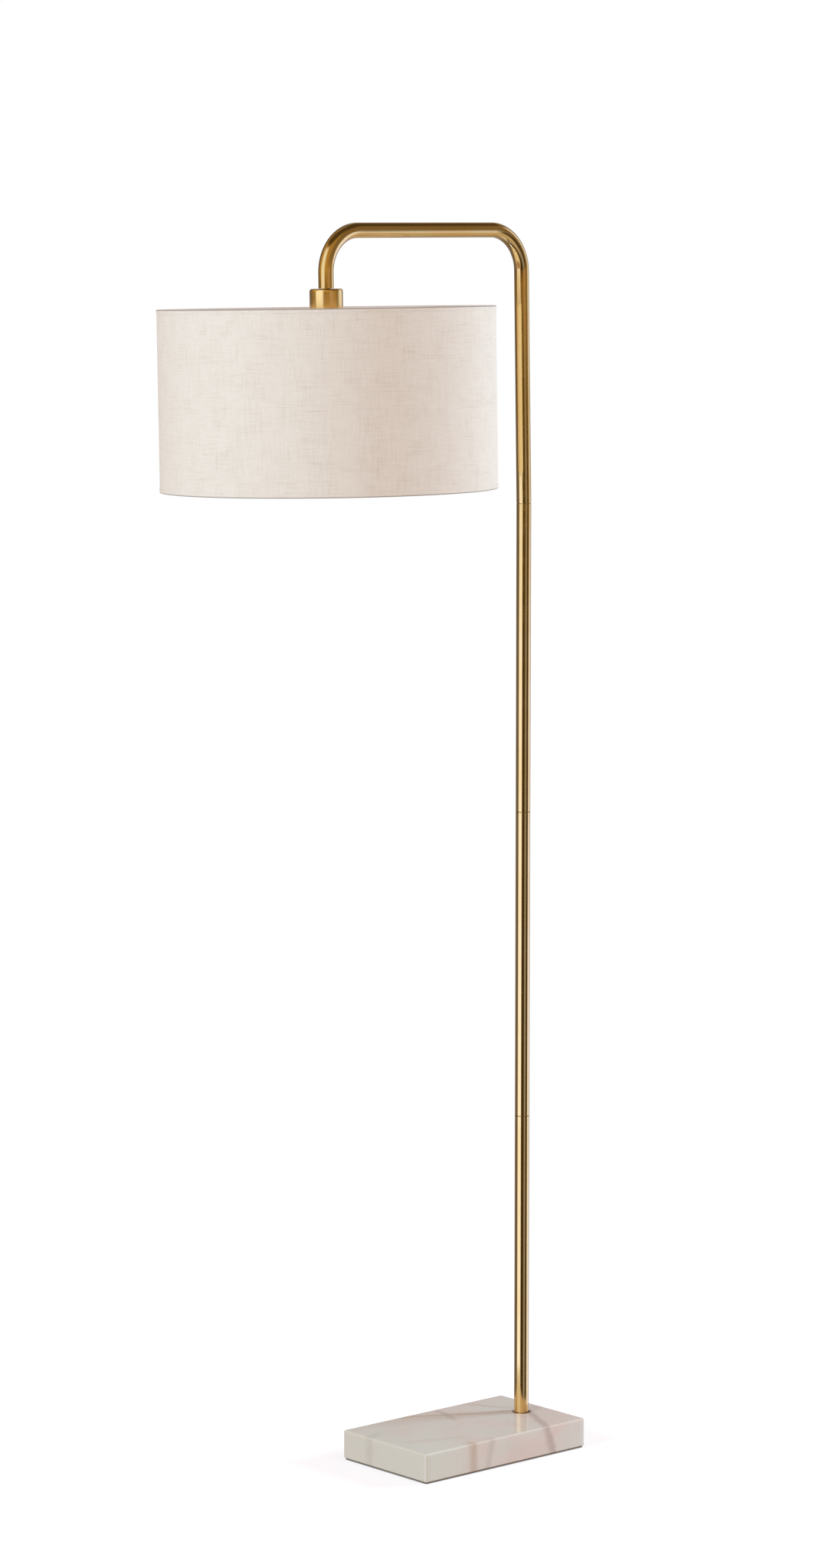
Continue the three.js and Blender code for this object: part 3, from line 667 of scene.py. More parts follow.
def slab_outline(low, high, z, inset):
    """A ring of the slab's rounded outline. Every ring has the same points on its corners and its sides."""
    corner = max(SLAB_CORNER - inset, LEAST_CORNER)
    centre = (low + high) / 2
    reach_x = (high.x - low.x) / 2 - inset - corner
    reach_y = (high.y - low.y) / 2 - inset - corner

    def point(quarter, angle):
        side_x, side_y = SLAB_QUARTERS[quarter % 4]
        x = side_x * reach_x + corner * cos(angle)
        y = side_y * reach_y + corner * sin(angle)
        return Vector((centre.x + x, centre.y + y, z))

    ring = []
    for quarter, cuts in enumerate(SIDE_CUTS):
        turns = [quarter - 1 + step / CORNER_STEPS for step in range(CORNER_STEPS + 1)]
        ring += [point(quarter, pi / 2 * turn) for turn in turns]
        start, end = ring[-1], point(quarter + 1, pi / 2 * quarter)
        ring += [start.lerp(end, cut / cuts) for cut in range(1, cuts)]
    return ring


def slab_rings(low, high):
    """The slab's surface as rings, from the bore's top out over the top face, and back underneath."""
    def outline(z, inset):
        return slab_outline(low, high, z, inset)

    angles = [atan2(p.y, p.x - POLE_X) for p in outline(high.z, SLAB_EDGE)]

    def circle(radius, z):
        return [Vector((POLE_X + radius * cos(a), radius * sin(a), z)) for a in angles]

    def edge(end, side, turn):
        return outline(end - side * SLAB_EDGE * (1 - cos(turn)), SLAB_EDGE * (1 - sin(turn)))

    radius, depth = RECESS
    wide, deep = POCKET
    ceiling = low.z - GAP / 2 + deep
    ease = 0.5 * MM
    turns = [pi / 2 * (step / EDGE_STEPS) for step in range(EDGE_STEPS + 1)]
    rings = [circle(SLAB_BORE, high.z - depth), circle(radius, high.z - depth)]
    for turn in turns:
        rings.append(circle(radius + ease * (1 - cos(turn)), high.z - ease + ease * sin(turn)))
    rings += [circle(radius + 2 * ease, high.z), outline(high.z, SLAB_EDGE + ease)]
    rings += [edge(high.z, 1, turn) for turn in turns]
    rings += [outline(high.z - SLAB_EDGE - ease, 0), outline(low.z + SLAB_EDGE + ease, 0)]
    rings += [edge(low.z, -1, turn) for turn in reversed(turns)]
    rings += [outline(low.z, SLAB_EDGE + ease), circle(wide + ease, low.z), circle(wide, low.z + ease)]
    return rings + [circle(wide, ceiling), circle(SLAB_BORE, ceiling)]


def make_base():
    low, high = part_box("marble_base")
    slab = skin("slab", slab_rings(low, high))
    channel_low = Vector((POLE_X, -CHANNEL / 2, low.z - CHANNEL))
    channel_high = Vector((high.x + CHANNEL, CHANNEL / 2, low.z - GAP / 2 + CHANNEL))
    subtract(slab, block("cutter", channel_low, channel_high))
    finish_piece(slab, "stand", "marble", "marble_base")

    low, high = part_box("base_pad")
    ease = 0.4 * MM
    levels = ((low.z, ease), (low.z + ease, 0), (high.z - ease, 0), (high.z, ease))
    pad = skin("pad", [slab_outline(low, high, z, inset) for z, inset in levels], caps=True)
    finish_piece(pad, "stand", "felt", "base_pad")


GROMMET_BORE = 2.6 * MM
GROMMET_EASE = 0.12 * MM
SQUARENESS = 9  # the power that makes a rounded square of a circle
LEAD_RADIUS = 2.3 * MM
LEAD_LIFT = 5.2 * MM  # from under the pad to the middle of the lead


def make_grommet():
    """A square bush with a round hole, in the mouth of the lead's channel."""
    low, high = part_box("lead_grommet")
    centre = (low + high) / 2
    half = (high.y - low.y) / 2
    hole_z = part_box("base_pad")[0].z + LEAD_LIFT
    ease = GROMMET_EASE
    angles = [TAU * side / SMALL for side in range(SMALL)]

    def square(x, inset):
        ring = []
        for a in angles:
            round_off = abs(cos(a)) ** SQUARENESS + abs(sin(a)) ** SQUARENESS
            reach = (half - inset) * round_off ** (-1 / SQUARENESS)
            ring.append(Vector((x, reach * cos(a), centre.z + reach * sin(a))))
        return ring

    def hole(x, radius):
        return [Vector((x, radius * cos(a), hole_z + radius * sin(a))) for a in angles]

    rings = [hole(low.x, GROMMET_BORE + ease), square(low.x, ease), square(low.x + ease, 0)]
    rings += [square(high.x - ease, 0), square(high.x, ease), hole(high.x, GROMMET_BORE + ease)]
    rings += [hole(high.x - ease, GROMMET_BORE), hole(low.x + ease, GROMMET_BORE)]
    finish_piece(skin("grommet", rings), "stand", "moulding", "lead_grommet")


# ---- Tubes and fittings ----
TUBE_BORE = 8.325 * MM
TUBE_OUTER = 9.525 * MM
TUBE_EASE = 0.35 * MM
ARM_Z = upright_box("arch_pole")[1].z - TUBE_OUTER  # the middle of the level part of the arch
PLUG = TUBE_BORE - GAP  # the fittings fixed inside the tubes
BEND = 52 * MM  # centre-line radius of the arch
LEAD_BEND = 10 * MM  # the same for the lead, inside the slab
LEAD_END = 15 * MM  # above the foot of the terminal screws
MALE = 5 * MM  # M10 thread
FEMALE = 5.5 * MM
BORE = 3.4 * MM  # through the rods and nipples
THREAD = (1 * MM, 0.45 * MM)  # pitch and depth of M10 x 1
THREAD_ROWS = 5  # for each turn
NUT_SIDES = 96
STUD_HEAD = 17.5 * MM  # length of the studs' plain heads
TINY = 0.01 * MM


def hexagon(flat):
    """Cuts an outline down to a hexagon where it stands outside one, whose flats are that far out."""
    def bend(radius, _, angle):
        return min(radius, flat / cos(angle % (TAU / 6) - TAU / 12))
    return bend


def threaded(low, high, outside=0.0, pitch=THREAD[0], depth=THREAD[1]):
    """Cuts a screw thread into an outline between two heights, where its radius is over outside."""
    def bend(radius, z, angle):
        if radius < outside or not low < z < high:
            return radius
        ease = min(1, (z - low) / pitch, (high - z) / pitch)
        return radius - depth * ease * (0.5 - 0.5 * cos(TAU * z / pitch - angle))
    return bend


def rows(radius, low, high, step):
    """Points up a straight stretch of an outline, close enough together to carry a thread."""
    count = max(1, round((high - low) / step))
    return [(radius, low + (high - low) * i / count) for i in range(count + 1)]


def wall(inner, outer, low, high, step):
    """The outline of a thin wall, with points up both its faces."""
    return rows(outer, low, high, step) + rows(inner, low, high, step)[::-1]


def tube(inner, outer, low, high, ease=0.3 * MM):
    """The outline of a tube or washer with eased corners."""
    corners = [(inner, low, ease / 2), (outer, low, ease), (outer, high, ease), (inner, high, ease / 2)]
    return rounded(corners, 3)


def stub(radius, low, high, low_ease, high_ease, steps=4):
    """The outline of a solid round stub with eased ends."""
    return rounded([(0, low, 0), (radius, low, low_ease), (radius, high, high_ease), (0, high, 0)], steps)


def detail(node, outline, look, at=AT_HEAD, body="stand", **shape):
    """A turned piece in the place of one CAD node."""
    x, leaning = at
    piece = put(turned(node + "_detail", outline, **shape), x, leaning=leaning)
    finish_piece(piece, body, look, node)


def sleeve(node, look, at=AT_HEAD, inner=FEMALE, outer=None, ease=0.3 * MM, **shape):
    """A tube or washer in the place of a CAD node, as wide as the node unless outer is given."""
    radius, low, high = span(node, at[1])
    detail(node, tube(inner, outer or radius, low, high, ease), look, at, **shape)


def hex_nut(node, look, at, ease):
    radius, low, high = span(node, at[1])
    corner = radius / cos(TAU / 12)
    outline = [(FEMALE, low), (radius - ease, low), (corner, low + ease), (corner, high - ease)]
    outline += [(radius - ease, high), (FEMALE, high)]
    detail(node, outline, look, at, sides=NUT_SIDES, bend=hexagon(radius))


def threaded_rod(node, at, head=0.0):
    """A hollow steel rod with a thread outside, under a plain head of a given length."""
    _, low, top = span(node, at[1])
    high = top - head
    pitch, depth = THREAD
    ease = 0.6 * MM
    outline = [(BORE, low), (MALE - ease, low)]
    outline += rows(MALE, low + ease, high - ease, pitch / THREAD_ROWS)
    if head:
        outline += [(MALE - depth, high), (PLUG - ease, high), (PLUG, high + ease)]
        outline += [(PLUG, top - ease), (PLUG - ease, top), (BORE, top)]
    else:
        outline += [(MALE - ease, high), (BORE, high)]
    bend = threaded(low + ease, high - (pitch if head else ease), MALE - TINY)
    detail(node, outline, "steel", at, sides=SMALL, bend=bend)


def make_clamp():
    """The seat, washers, nut and hollow rod that hold the pole to the slab."""
    sleeve("pole_seat", "brass_foot", AT_POLE, ease=0.4 * MM)
    sleeve("base_washer", "steel", AT_POLE)
    hex_nut("base_nut", "steel", AT_POLE, 0.8 * MM)
    threaded_rod("base_rod", AT_POLE)
    make_spring_washer()


def make_spring_washer():
    """A split ring whose ends stand slightly apart."""
    radius, low, high = span("spring_washer", False)
    split = 1 * MM / radius
    ease = 0.2 * MM
    corners = ((FEMALE, low), (radius, low), (radius, high), (FEMALE, high))
    section = rounded([(*corner, ease) for corner in corners], 2)
    rings = []
    for step in range(SMALL + 1):
        share = step / SMALL
        angle = split + (TAU - 2 * split) * share
        lift = (share - 0.5) * 0.1 * (high - low)
        rings.append([Vector((r * cos(angle), r * sin(angle), z + lift)) for r, z in section])

    def grain(i, j):
        return Vector((i / SMALL * TAU * radius * BRUSH, *section[j]))

    piece = put(skin("spring_washer_detail", rings, caps=True, grain=grain), POLE_X, leaning=False)
    finish_piece(piece, "stand", "steel", "spring_washer")


def make_poles():
    """Three straight tubes, and the threaded fittings inside them."""
    for node in ("lower_pole", "middle_pole", "upper_pole"):
        sleeve(node, "brass_pole", AT_POLE, inner=TUBE_BORE, ease=TUBE_EASE, brushed="along")
    sleeve("foot_insert", "steel", AT_POLE, outer=PLUG, sides=SMALL)
    for number in (1, 2, 3):
        sleeve(f"pole_socket_{number}", "steel", AT_POLE, outer=PLUG, sides=SMALL)
        threaded_rod(f"pole_stud_{number}", (POLE_X, number == 3), STUD_HEAD)


def make_arch():
    """The bent tube over the head, and the threaded plug in its far end."""
    _, low, _ = span("arch_pole")
    end = span("socket_cup")[2] + GAP
    station = route([(POLE_X, low), (POLE_X, ARM_Z), (HEAD_X, ARM_Z), (HEAD_X, end)], BEND, 24)
    length = station[-1][0]
    steps = [d for d, _, _ in station if 2 * TUBE_EASE < d < length - 2 * TUBE_EASE]
    ends = tube(TUBE_BORE, TUBE_OUTER, 0, length, TUBE_EASE)
    half = len(ends) // 2
    outline = ends[:half] + [(TUBE_OUTER, d) for d in steps]
    outline += ends[half:] + [(TUBE_BORE, d) for d in reversed(steps)]
    arch = swept("arch", lambda d: on_route(station, d), outline, brushed="along")
    finish_piece(put(arch, 0), "stand", "brass_arch", "arch_pole")
    sleeve("arch_insert", "brass_arch")


def make_lead():
    """The lead inside the lamp: in through the grommet, up the tubes, over and down to the holder."""
    low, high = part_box("lamp_lead")
    floor_z = low.z + LEAD_RADIUS
    foot = span("terminal_screw_1")[1] + LEAD_END
    lower = route([(high.x, floor_z), (POLE_X, floor_z), (POLE_X, ARCH_SEAM)], LEAD_BEND, 12)
    upper = [(POLE_X, ARCH_SEAM - 1 * MM), (POLE_X, ARM_Z), (HEAD_X, ARM_Z), (HEAD_X, foot)]
    ease = 0.3 * MM
    for name, line, leaning in (("lead_lower", lower, False), ("lead_upper", route(upper, BEND, 16), True)):
        length = line[-1][0]
        outline = [(0, 0), (LEAD_RADIUS - ease, 0), (LEAD_RADIUS, ease)]
        outline += [(LEAD_RADIUS, d) for d, _, _ in line[1:-1]]
        outline += [(LEAD_RADIUS, length - ease), (LEAD_RADIUS - ease, length), (0, length)]
        piece = swept(name, lambda d, line=line: on_route(line, d), outline, sides=32, brushed="along")
        finish_piece(put(piece, 0, leaning=leaning), "stand", "lead", "lamp_lead")


# ---- Cup, lampholder and switch ----
SWITCH_HOLE = 4 * MM  # radius
DRILLED = (10 * MM, 34 * MM)  # how far from the axis the switch's hole runs
HOLDER_RADIUS = 16.5 * MM
HOLDER_BORE = 14.2 * MM
HOLDER_SHOULDER = (21 * MM, 24 * MM)  # the flange, above the holder's lower end
HOLDER_FLOOR = (34 * MM, 37 * MM)
SKIRT_THREAD = (2.4 * MM, 0.7 * MM)  # pitch and depth
SHELL_THREAD = (3.6 * MM, -0.22 * MM)  # pressed outwards
CUP_WALL = 1.2 * MM
CUP_CORNER = 3 * MM
CAP_WALL = 2 * MM
RIVET_SHANK = 1.5 * MM


def along_y(piece):
    """Turns a piece built on Z to lie along +Y, at the switch's height."""
    low, high = upright_box("switch_shaft")
    lie = Matrix.Rotation(-pi / 2, 4, "X")
    piece.data.transform(Matrix.Translation((0, 0, (low.z + high.z) / 2)) @ lie)
    return piece


def drill(piece):
    """Cuts the switch shaft's hole through one wall of a piece that isn't placed yet."""
    near, far = DRILLED
    outline = [(0, near), (SWITCH_HOLE, near), (SWITCH_HOLE, far), (0, far)]
    return subtract(piece, along_y(turned("drill", outline, sides=SMALL)))


def make_cup():
    radius, low, high = span("socket_cup")
    inner = radius - CUP_WALL
    ease = 0.35 * MM
    outline = rounded([
        (inner, low, ease), (radius, low, ease), (radius, high, CUP_CORNER), (FEMALE, high, ease),
        (FEMALE, high - CUP_WALL, 0), (inner, high - CUP_WALL, CUP_CORNER - CUP_WALL),
    ], 6)
    cup = drill(turned("cup", outline))
    finish_piece(put(cup, HEAD_X), "stand", "brass_cup", "socket_cup")
    threaded_rod("nipple", AT_HEAD)
    sleeve("cup_washer", "steel")
    hex_nut("cup_nut", "brass_cup", AT_HEAD, 0.6 * MM)


def make_holder():
    """The moulded lampholder: a threaded skirt for the shade's ring, a flange, and its cap."""
    flange, low, high = span("holder_body")
    shoulder, shoulder_top = (low + h for h in HOLDER_SHOULDER)
    floor, deck = (low + h for h in HOLDER_FLOOR)
    pitch, depth = SKIRT_THREAD
    skirt_top = shoulder - pitch / 2
    rivet_hole = RIVET_SHANK + GAP
    ease = 0.4 * MM
    lip = 0.5 * MM
    outline = [(rivet_hole, floor), (HOLDER_BORE, floor), (HOLDER_BORE, low + ease)]
    outline += [(HOLDER_BORE + ease, low), (HOLDER_RADIUS - lip, low)]
    outline += rows(HOLDER_RADIUS, low + lip, skirt_top, pitch / 8)
    outline += [(HOLDER_RADIUS, shoulder)]
    outline += rounded([(HOLDER_RADIUS, shoulder, 0), (flange, shoulder, 0.6 * MM),
                        (flange, shoulder_top, 0.6 * MM), (HOLDER_RADIUS, shoulder_top, 0)], 4)[1:]
    outline += [(HOLDER_RADIUS, high - ease), (HOLDER_RADIUS - ease, high), (HOLDER_BORE, high)]
    outline += [(HOLDER_BORE, deck), (rivet_hole, deck)]
    bend = threaded(low + lip, skirt_top, HOLDER_RADIUS - TINY, pitch, depth)
    body = drill(turned("holder_body_detail", outline, bend=bend))
    finish_piece(put(body, HEAD_X), "stand", "moulding", "holder_body")

    radius, low, high = span("holder_cap")
    inner = radius - CAP_WALL
    outline = rounded([
        (inner, low, 0), (radius, low, 0.3 * MM), (radius, low + 5 * MM, 1.5 * MM),
        (10 * MM, high, 1.2 * MM), (FEMALE, high, 0.3 * MM), (FEMALE, low + 6 * MM, 0),
        (inner, low + CAP_WALL, 0),
    ], 4)
    detail("holder_cap", outline, "moulding")


def make_contacts():
    """The screw shell, the centre contact with its rivet, and the two terminal screws."""
    radius, low, high = span("screw_shell")
    pitch, depth = SHELL_THREAD
    bend = threaded(low + pitch, high - 2 * pitch, pitch=pitch, depth=depth)
    detail("screw_shell", wall(radius - 0.4 * MM, radius, low, high, pitch / 8), "nickel", bend=bend)

    head, low, high = span("contact_rivet")
    step = high - 0.9 * MM
    outline = rounded([(0, low, 0), (RIVET_SHANK, low, 0.3 * MM), (RIVET_SHANK, step, 0),
                       (head, step, 0.2 * MM), (head, high, 0.7 * MM), (0, high, 0)], 4)
    detail("contact_rivet", outline, "brass_cup", sides=SMALL)

    strip = block("centre_contact_detail", *upright_box("centre_contact"), 0.15 * MM)
    finish_piece(put(strip, 0), "stand", "brass_cup", "centre_contact")

    for node in ("terminal_screw_1", "terminal_screw_2"):
        low, high = upright_box(node)
        centre = (low + high) / 2
        radius = (high.y - low.y) / 2
        screw = turned(node + "_detail", stub(radius, low.z, high.z, 0.2 * MM, 0.9 * MM), sides=SMALL)
        slot_low = Vector((-2 * radius, -0.5 * MM, high.z - 0.8 * MM))
        subtract(screw, block("cutter", slot_low, Vector((2 * radius, 0.5 * MM, high.z + 1 * MM))))
        finish_piece(put(screw, centre.x, centre.y), "stand", "steel", node)


RING_BODY = 19 * MM
RIBS = 60
RIB_DEPTH = 0.35 * MM


def make_shade_ring():
    """The ribbed ring that screws up under the shade's hub."""
    rim, low, high = span("shade_ring")
    inner = HOLDER_RADIUS + GAP
    step = high - 2.5 * MM
    outline = rounded([
        (inner, low, 0.3 * MM), (RING_BODY, low, 0.5 * MM), (RING_BODY, step, 0),
        (rim, step, 0.4 * MM), (rim, high, 0.4 * MM), (inner, high, 0.3 * MM),
    ], 4)

    def ribbed(radius, _, angle):
        if radius < RING_BODY - 0.1 * MM:
            return radius
        return radius - RIB_DEPTH * (0.5 - 0.5 * cos(RIBS * angle))

    detail("shade_ring", outline, "moulding", sides=8 * RIBS, bend=ribbed)


FLUTES = 12
FLUTE_DEPTH = 0.8 * MM
KNOB_BORE = 2.8 * MM
KNOB_TOP = 1.7 * MM  # thickness of its closed end


def make_switch():
    """The rotary switch's shaft and its fluted knob, which turn together."""
    low, high = upright_box("switch_shaft")
    outline = stub((high.z - low.z) / 2, low.y, high.y, 0.3 * MM, 0.3 * MM, 3)
    shaft = along_y(turned("switch_shaft_detail", outline, sides=SMALL))
    finish_piece(put(shaft, HEAD_X), "switch", "brass_cup", "switch_shaft")

    low, high = upright_box("switch_knob")
    knob_radius = (high.z - low.z) / 2
    outline = rounded([
        (KNOB_BORE, low.y, 0.3 * MM), (knob_radius, low.y, 0.7 * MM), (knob_radius, high.y, 1.6 * MM),
        (0, high.y, 0), (0, high.y - KNOB_TOP, 0), (KNOB_BORE, high.y - KNOB_TOP, 0),
    ], 5)

    def fluted(radius, _, angle):
        groove = max(0.0, cos(FLUTES * angle)) ** 0.7
        return radius - FLUTE_DEPTH * groove * min(1, max(0, radius / knob_radius - 0.5) * 2)

    knob = along_y(turned("switch_knob_detail", outline, sides=16 * FLUTES, bend=fluted))
    finish_piece(put(knob, HEAD_X), "switch", "moulding", "switch_knob")


# ---- Shade ----
DRUM_SIDES = 512
DRUM_ROW = 28 * MM  # between the drum's rows of points
LINEN_THICK = 0.5 * MM
LINER_THICK = 0.35 * MM
LAP = 12 * MM  # the linen's overlap, on the side of the pole
LAP_RISE = 0.22 * MM
WIRE = 1.6 * MM  # radius of the frame's wire
WIRE_SIDES = 16
HUB_BORE = 17.3 * MM
SPOKE_TURNS = (30, 150, 270)  # degrees


def even(radius, z, angle):
    """A drum's radius with the slight waves that a glued shade has."""
    waves = 0.10 * sin(3 * angle + 0.7) + 0.05 * sin(11 * angle + 9 * z) + 0.03 * sin(23 * angle)
    return radius + waves * MM


def lapped(radius, z, angle):
    """The same with the step of the linen's overlap."""
    before = (TAU - angle) * radius
    return even(radius, z, angle) + LAP_RISE * max(0.0, 1 - before / LAP)


def make_drum():
    """The linen drum, stiffened by its inner film and bound by a rolled hem at each end."""
    outer, low, high = span("shade_linen")
    outline = wall(outer - LINEN_THICK, outer, low, high, DRUM_ROW)
    drum = put(turned("linen_drum", outline, sides=DRUM_SIDES, bend=lapped), HEAD_X)
    finish_piece(drum, "shade", "linen", "shade_linen")

    radius, liner_low, liner_high = span("shade_liner")
    outline = wall(radius - LINER_THICK, radius, liner_low, liner_high, DRUM_ROW)
    detail("shade_liner", outline, "styrene", body="shade", sides=DRUM_SIDES, bend=even)

    hems = [make_hem("top_hem", "top_wire", 1), make_hem("bottom_hem", "bottom_wire", -1)]
    wires = ("top_wire", "bottom_wire")
    for node in wires:
        make_hoop(node)


TAPE = 0.3 * MM  # thickness of the hems' folded tape
FOLD = 1.3 * MM  # radius of the fold over the rim
FOLD_STEPS = 6
ROLL = 0.36 * TAU  # how far the tape rolls round the wire
ROLL_STEPS = 12
ROLL_IN = 1.05 * MM  # how much closer to the wire the roll's end lies


def make_hem(node, wire_node, up):
    """A folded tape that covers the linen's edge and rolls over the wire behind it. up is 1 or -1."""
    outer, low, high = span(node)
    wire, wire_low, wire_high = span(wire_node)
    wire_z = (wire_low + wire_high) / 2
    edge, leg = (high, low) if up > 0 else (low, high)
    line = [Vector((outer, leg)), Vector((outer, edge - up * FOLD))]
    for step in range(1, FOLD_STEPS):
        turn = TAU / 4 * step / FOLD_STEPS
        away = Vector((1 - cos(turn), up * (1 - sin(turn))))
        line.append(Vector((outer, edge)) - FOLD * away)
    line.append(Vector((outer - FOLD - 0.2 * MM, edge)))
    for step in range(ROLL_STEPS + 1):
        share = step / ROLL_STEPS
        turn = TAU / 4 + ROLL * share
        reach = abs(edge - wire_z) - ROLL_IN * share
        line.append(Vector((wire - WIRE + reach * cos(turn), wire_z + up * reach * sin(turn))))
    inside = []
    for before, here, after in zip([line[0]] + line, line, line[1:] + [line[-1]]):
        ahead = (after - before).normalized()
        inside.append(here + Vector((-ahead.y, ahead.x)) * up * TAPE)
    feather = [Vector((outer - 0.8 * TAPE, leg)), Vector((outer, leg + up * MM))]
    outline = feather + line[1:] + inside[::-1]
    piece = put(turned(node + "_detail", outline, sides=DRUM_SIDES, bend=even), HEAD_X)
    return finish_piece(piece, "shade", "tape", node)


def make_hoop(node):
    radius, low, high = span(node)
    wire = (high - low) / 2
    angles = [TAU * side / WIRE_SIDES for side in range(WIRE_SIDES)]
    outline = [(radius - wire + wire * cos(a), (low + high) / 2 + wire * sin(a)) for a in angles]
    detail(node, outline, "enamel", body="shade", sides=256)


def make_fitter():
    """The hub that the ring clamps, and three spokes welded to it and to the top hoop."""
    sleeve("shade_hub", "enamel", inner=HUB_BORE, ease=0.5 * MM, body="shade")
    radius, low, high = span("shade_hub")
    hoop_radius, hoop_low, hoop_high = span("top_wire")
    start = (radius + WELD_GAP, (low + high) / 2)
    end = (hoop_radius - WIRE, (hoop_low + hoop_high) / 2)
    for number, degrees in enumerate(SPOKE_TURNS, 1):
        make_spoke(f"shade_spoke_{number}", radians(degrees), start, end)


# Radius and distance in millimetres, out from the end of a spoke to its bare wire.
WELD = [(0, 0), (1.9, 0.1), (2.35, 0.9), (2.2, 2.2), (1.75, 3.8), (1.6, 5.5)]
WELD_GAP = 0.2 * MM  # from the hub
HOOP_WELD = 1.75  # millimetres, the most that the weld at the hoop stands out, so that the tape hides it


def make_spoke(node, turn, start, end):
    out = Vector((cos(turn), sin(turn), 0))
    side = Vector((-sin(turn), cos(turn), 0))
    first = out * start[0] + Vector((0, 0, start[1]))
    last = out * end[0] + Vector((0, 0, end[1]))
    ahead = (last - first).normalized()
    length = (last - first).length
    lift = side.cross(ahead)
    outline = [(r * MM, d * MM) for r, d in WELD]
    outline += [(WIRE, length * share) for share in (0.2, 0.4, 0.6, 0.8)]
    outline += [(min(r, HOOP_WELD) * MM, length - d * MM) for r, d in reversed(WELD)]
    spoke = swept(node + "_detail", lambda d: (first + ahead * d, side, lift), outline, sides=24,
                  brushed="along")
    finish_piece(put(spoke, HEAD_X), "shade", "enamel", node)


# ---- Bulb ----
GLASS_RADIUS = 30 * MM
GLASS_WALL = 1 * MM
INSIDE_HEIGHT = 0.965  # of the globe's height
GLOBE_STEPS = 28
NECK_RADIUS = 11.8 * MM
SHOULDER = 0.62  # radians above the globe's equator, where the neck's curve starts
CAP_THREAD = (3.6 * MM, 0.55 * MM)
CAP_METAL = 0.35 * MM


def make_glass():
    _, low, high = span("bulb_glass")
    globe_z = low + GLASS_RADIUS
    turns = [i / GLOBE_STEPS * (TAU / 4 + SHOULDER) for i in range(GLOBE_STEPS + 1)]
    globe = [(GLASS_RADIUS * sin(t), globe_z - GLASS_RADIUS * cos(t)) for t in turns]
    neck = neck_curve(globe[-1], (NECK_RADIUS, span("bulb_cap")[1] - 4 * MM)) + [(NECK_RADIUS, high)]
    shrink = (GLASS_RADIUS - GLASS_WALL) / GLASS_RADIUS
    inside = [(max(0, r * shrink), globe_z + (z - globe_z) * INSIDE_HEIGHT) for r, z in globe]
    inside += [(r - GLASS_WALL, z) for r, z in neck[1:]]
    piece = turned("bulb_glass_detail", globe + neck + inside[::-1])
    finish_piece(put(piece, HEAD_X), "bulb", "glass", "bulb_glass")


def make_bulb_cap():
    radius, low, high = span("bulb_cap")
    pitch, depth = CAP_THREAD
    outline = rows(radius, low, high - 2.2 * MM, pitch / 10)
    outline += [(radius - 0.3 * MM, high - 1.2 * MM), (11.6 * MM, high), (11.0 * MM, high)]
    outline += rows(radius - CAP_METAL, low, high - 2.4 * MM, pitch / 10)[::-1]
    bend = threaded(low + 1.5 * MM, high - 3 * MM, 12 * MM, pitch, depth)
    detail("bulb_cap", outline, "nickel", body="bulb", bend=bend)

    base, low, high = span("bulb_insulator")
    outline = rounded([(0, low, 0), (base, low, 0.2 * MM), (base, low + 0.5 * MM, 0.2 * MM),
                       (5 * MM, high, 0.5 * MM), (0, high, 0)], 3)
    detail("bulb_insulator", outline, "moulding", body="bulb", sides=SMALL)
    radius, low, high = span("bulb_contact")
    outline = stub(radius, low, high, 0.2 * MM, 0.9 * MM)
    detail("bulb_contact", outline, "nickel", body="bulb", sides=SMALL)


def neck_curve(start, end, steps=14):
    """A smooth curve from the globe's shoulder to the straight neck."""
    a = Vector(start)
    d = Vector(end)
    pull = (d - a).length * 0.4
    b = a + Vector((-sin(SHOULDER), cos(SHOULDER))) * pull
    c = d - Vector((0, pull))
    line = []
    for step in range(1, steps + 1):
        t = step / steps
        s = 1 - t
        line.append(tuple(a * s ** 3 + b * 3 * t * s ** 2 + c * 3 * t * t * s + d * t ** 3))
    return line


# ---- Studio ----
WHITE = (1, 1, 1, 1)
BLACK = (0, 0, 0, 1)
WORLD_DIFFUSE = ((0.635, 0.515, 0.42, 1), (0.69, 0.52, 0.45, 1))  # from below and from above
# What polished metal sees, by degrees to the right of the camera: where each band ends and its brightness.
BANDS = (
    (-180, (0.20, 0.16, 0.11)),
    (-100, (0.14, 0.11, 0.08)),
    (-80, (0.12, 0.095, 0.06)),
    (-73, (0.95, 0.98, 1.0)),
    (-26, (1.00, 1.00, 1.0)),
    (-17, (0.040, 0.024, 0.004)),
    (20, (0.050, 0.032, 0.010)),
    (28, (0.29, 0.26, 0.21)),
    (46, (0.28, 0.25, 0.20)),
    (56, (0.050, 0.032, 0.010)),
    (80, (0.050, 0.032, 0.010)),
    (88, (0.80, 0.78, 0.74)),
    (98, (0.85, 0.84, 0.82)),
    (106, (0.78, 0.80, 0.92)),
    (125, (0.82, 0.84, 0.98)),
    (140, (0.32, 0.28, 0.24)),
    (180, (0.30, 0.25, 0.19)),
)
BAND_STRENGTH = 1.25
LEVEL_TINT = (0.80, 0.82, 0.84, 1)  # of the bands at the horizon
LOW_TINT = (1.02, 1.14, 1.65, 1)  # below it, where the pole looks, being seen from above
HEAD_TINT = (1.02, 1.06, 1.18, 1)  # on top of those, from the horizon up, for the metal over the shade
HEAD_FILL = (0.43, 0.29, 0.085, 1)  # the least seen there, since the shade throws light back at it
ROOF_WARM = (0.42, 0.285, 0.10, 1)
ROOF = (0.23, 0.17, 0.095, 1)
ROOF_DARK = (0.085, 0.06, 0.03, 1)
SHADE_TOP = (0.60, 0.54, 0.46, 1)


def sine(degrees):
    return sin(radians(degrees))


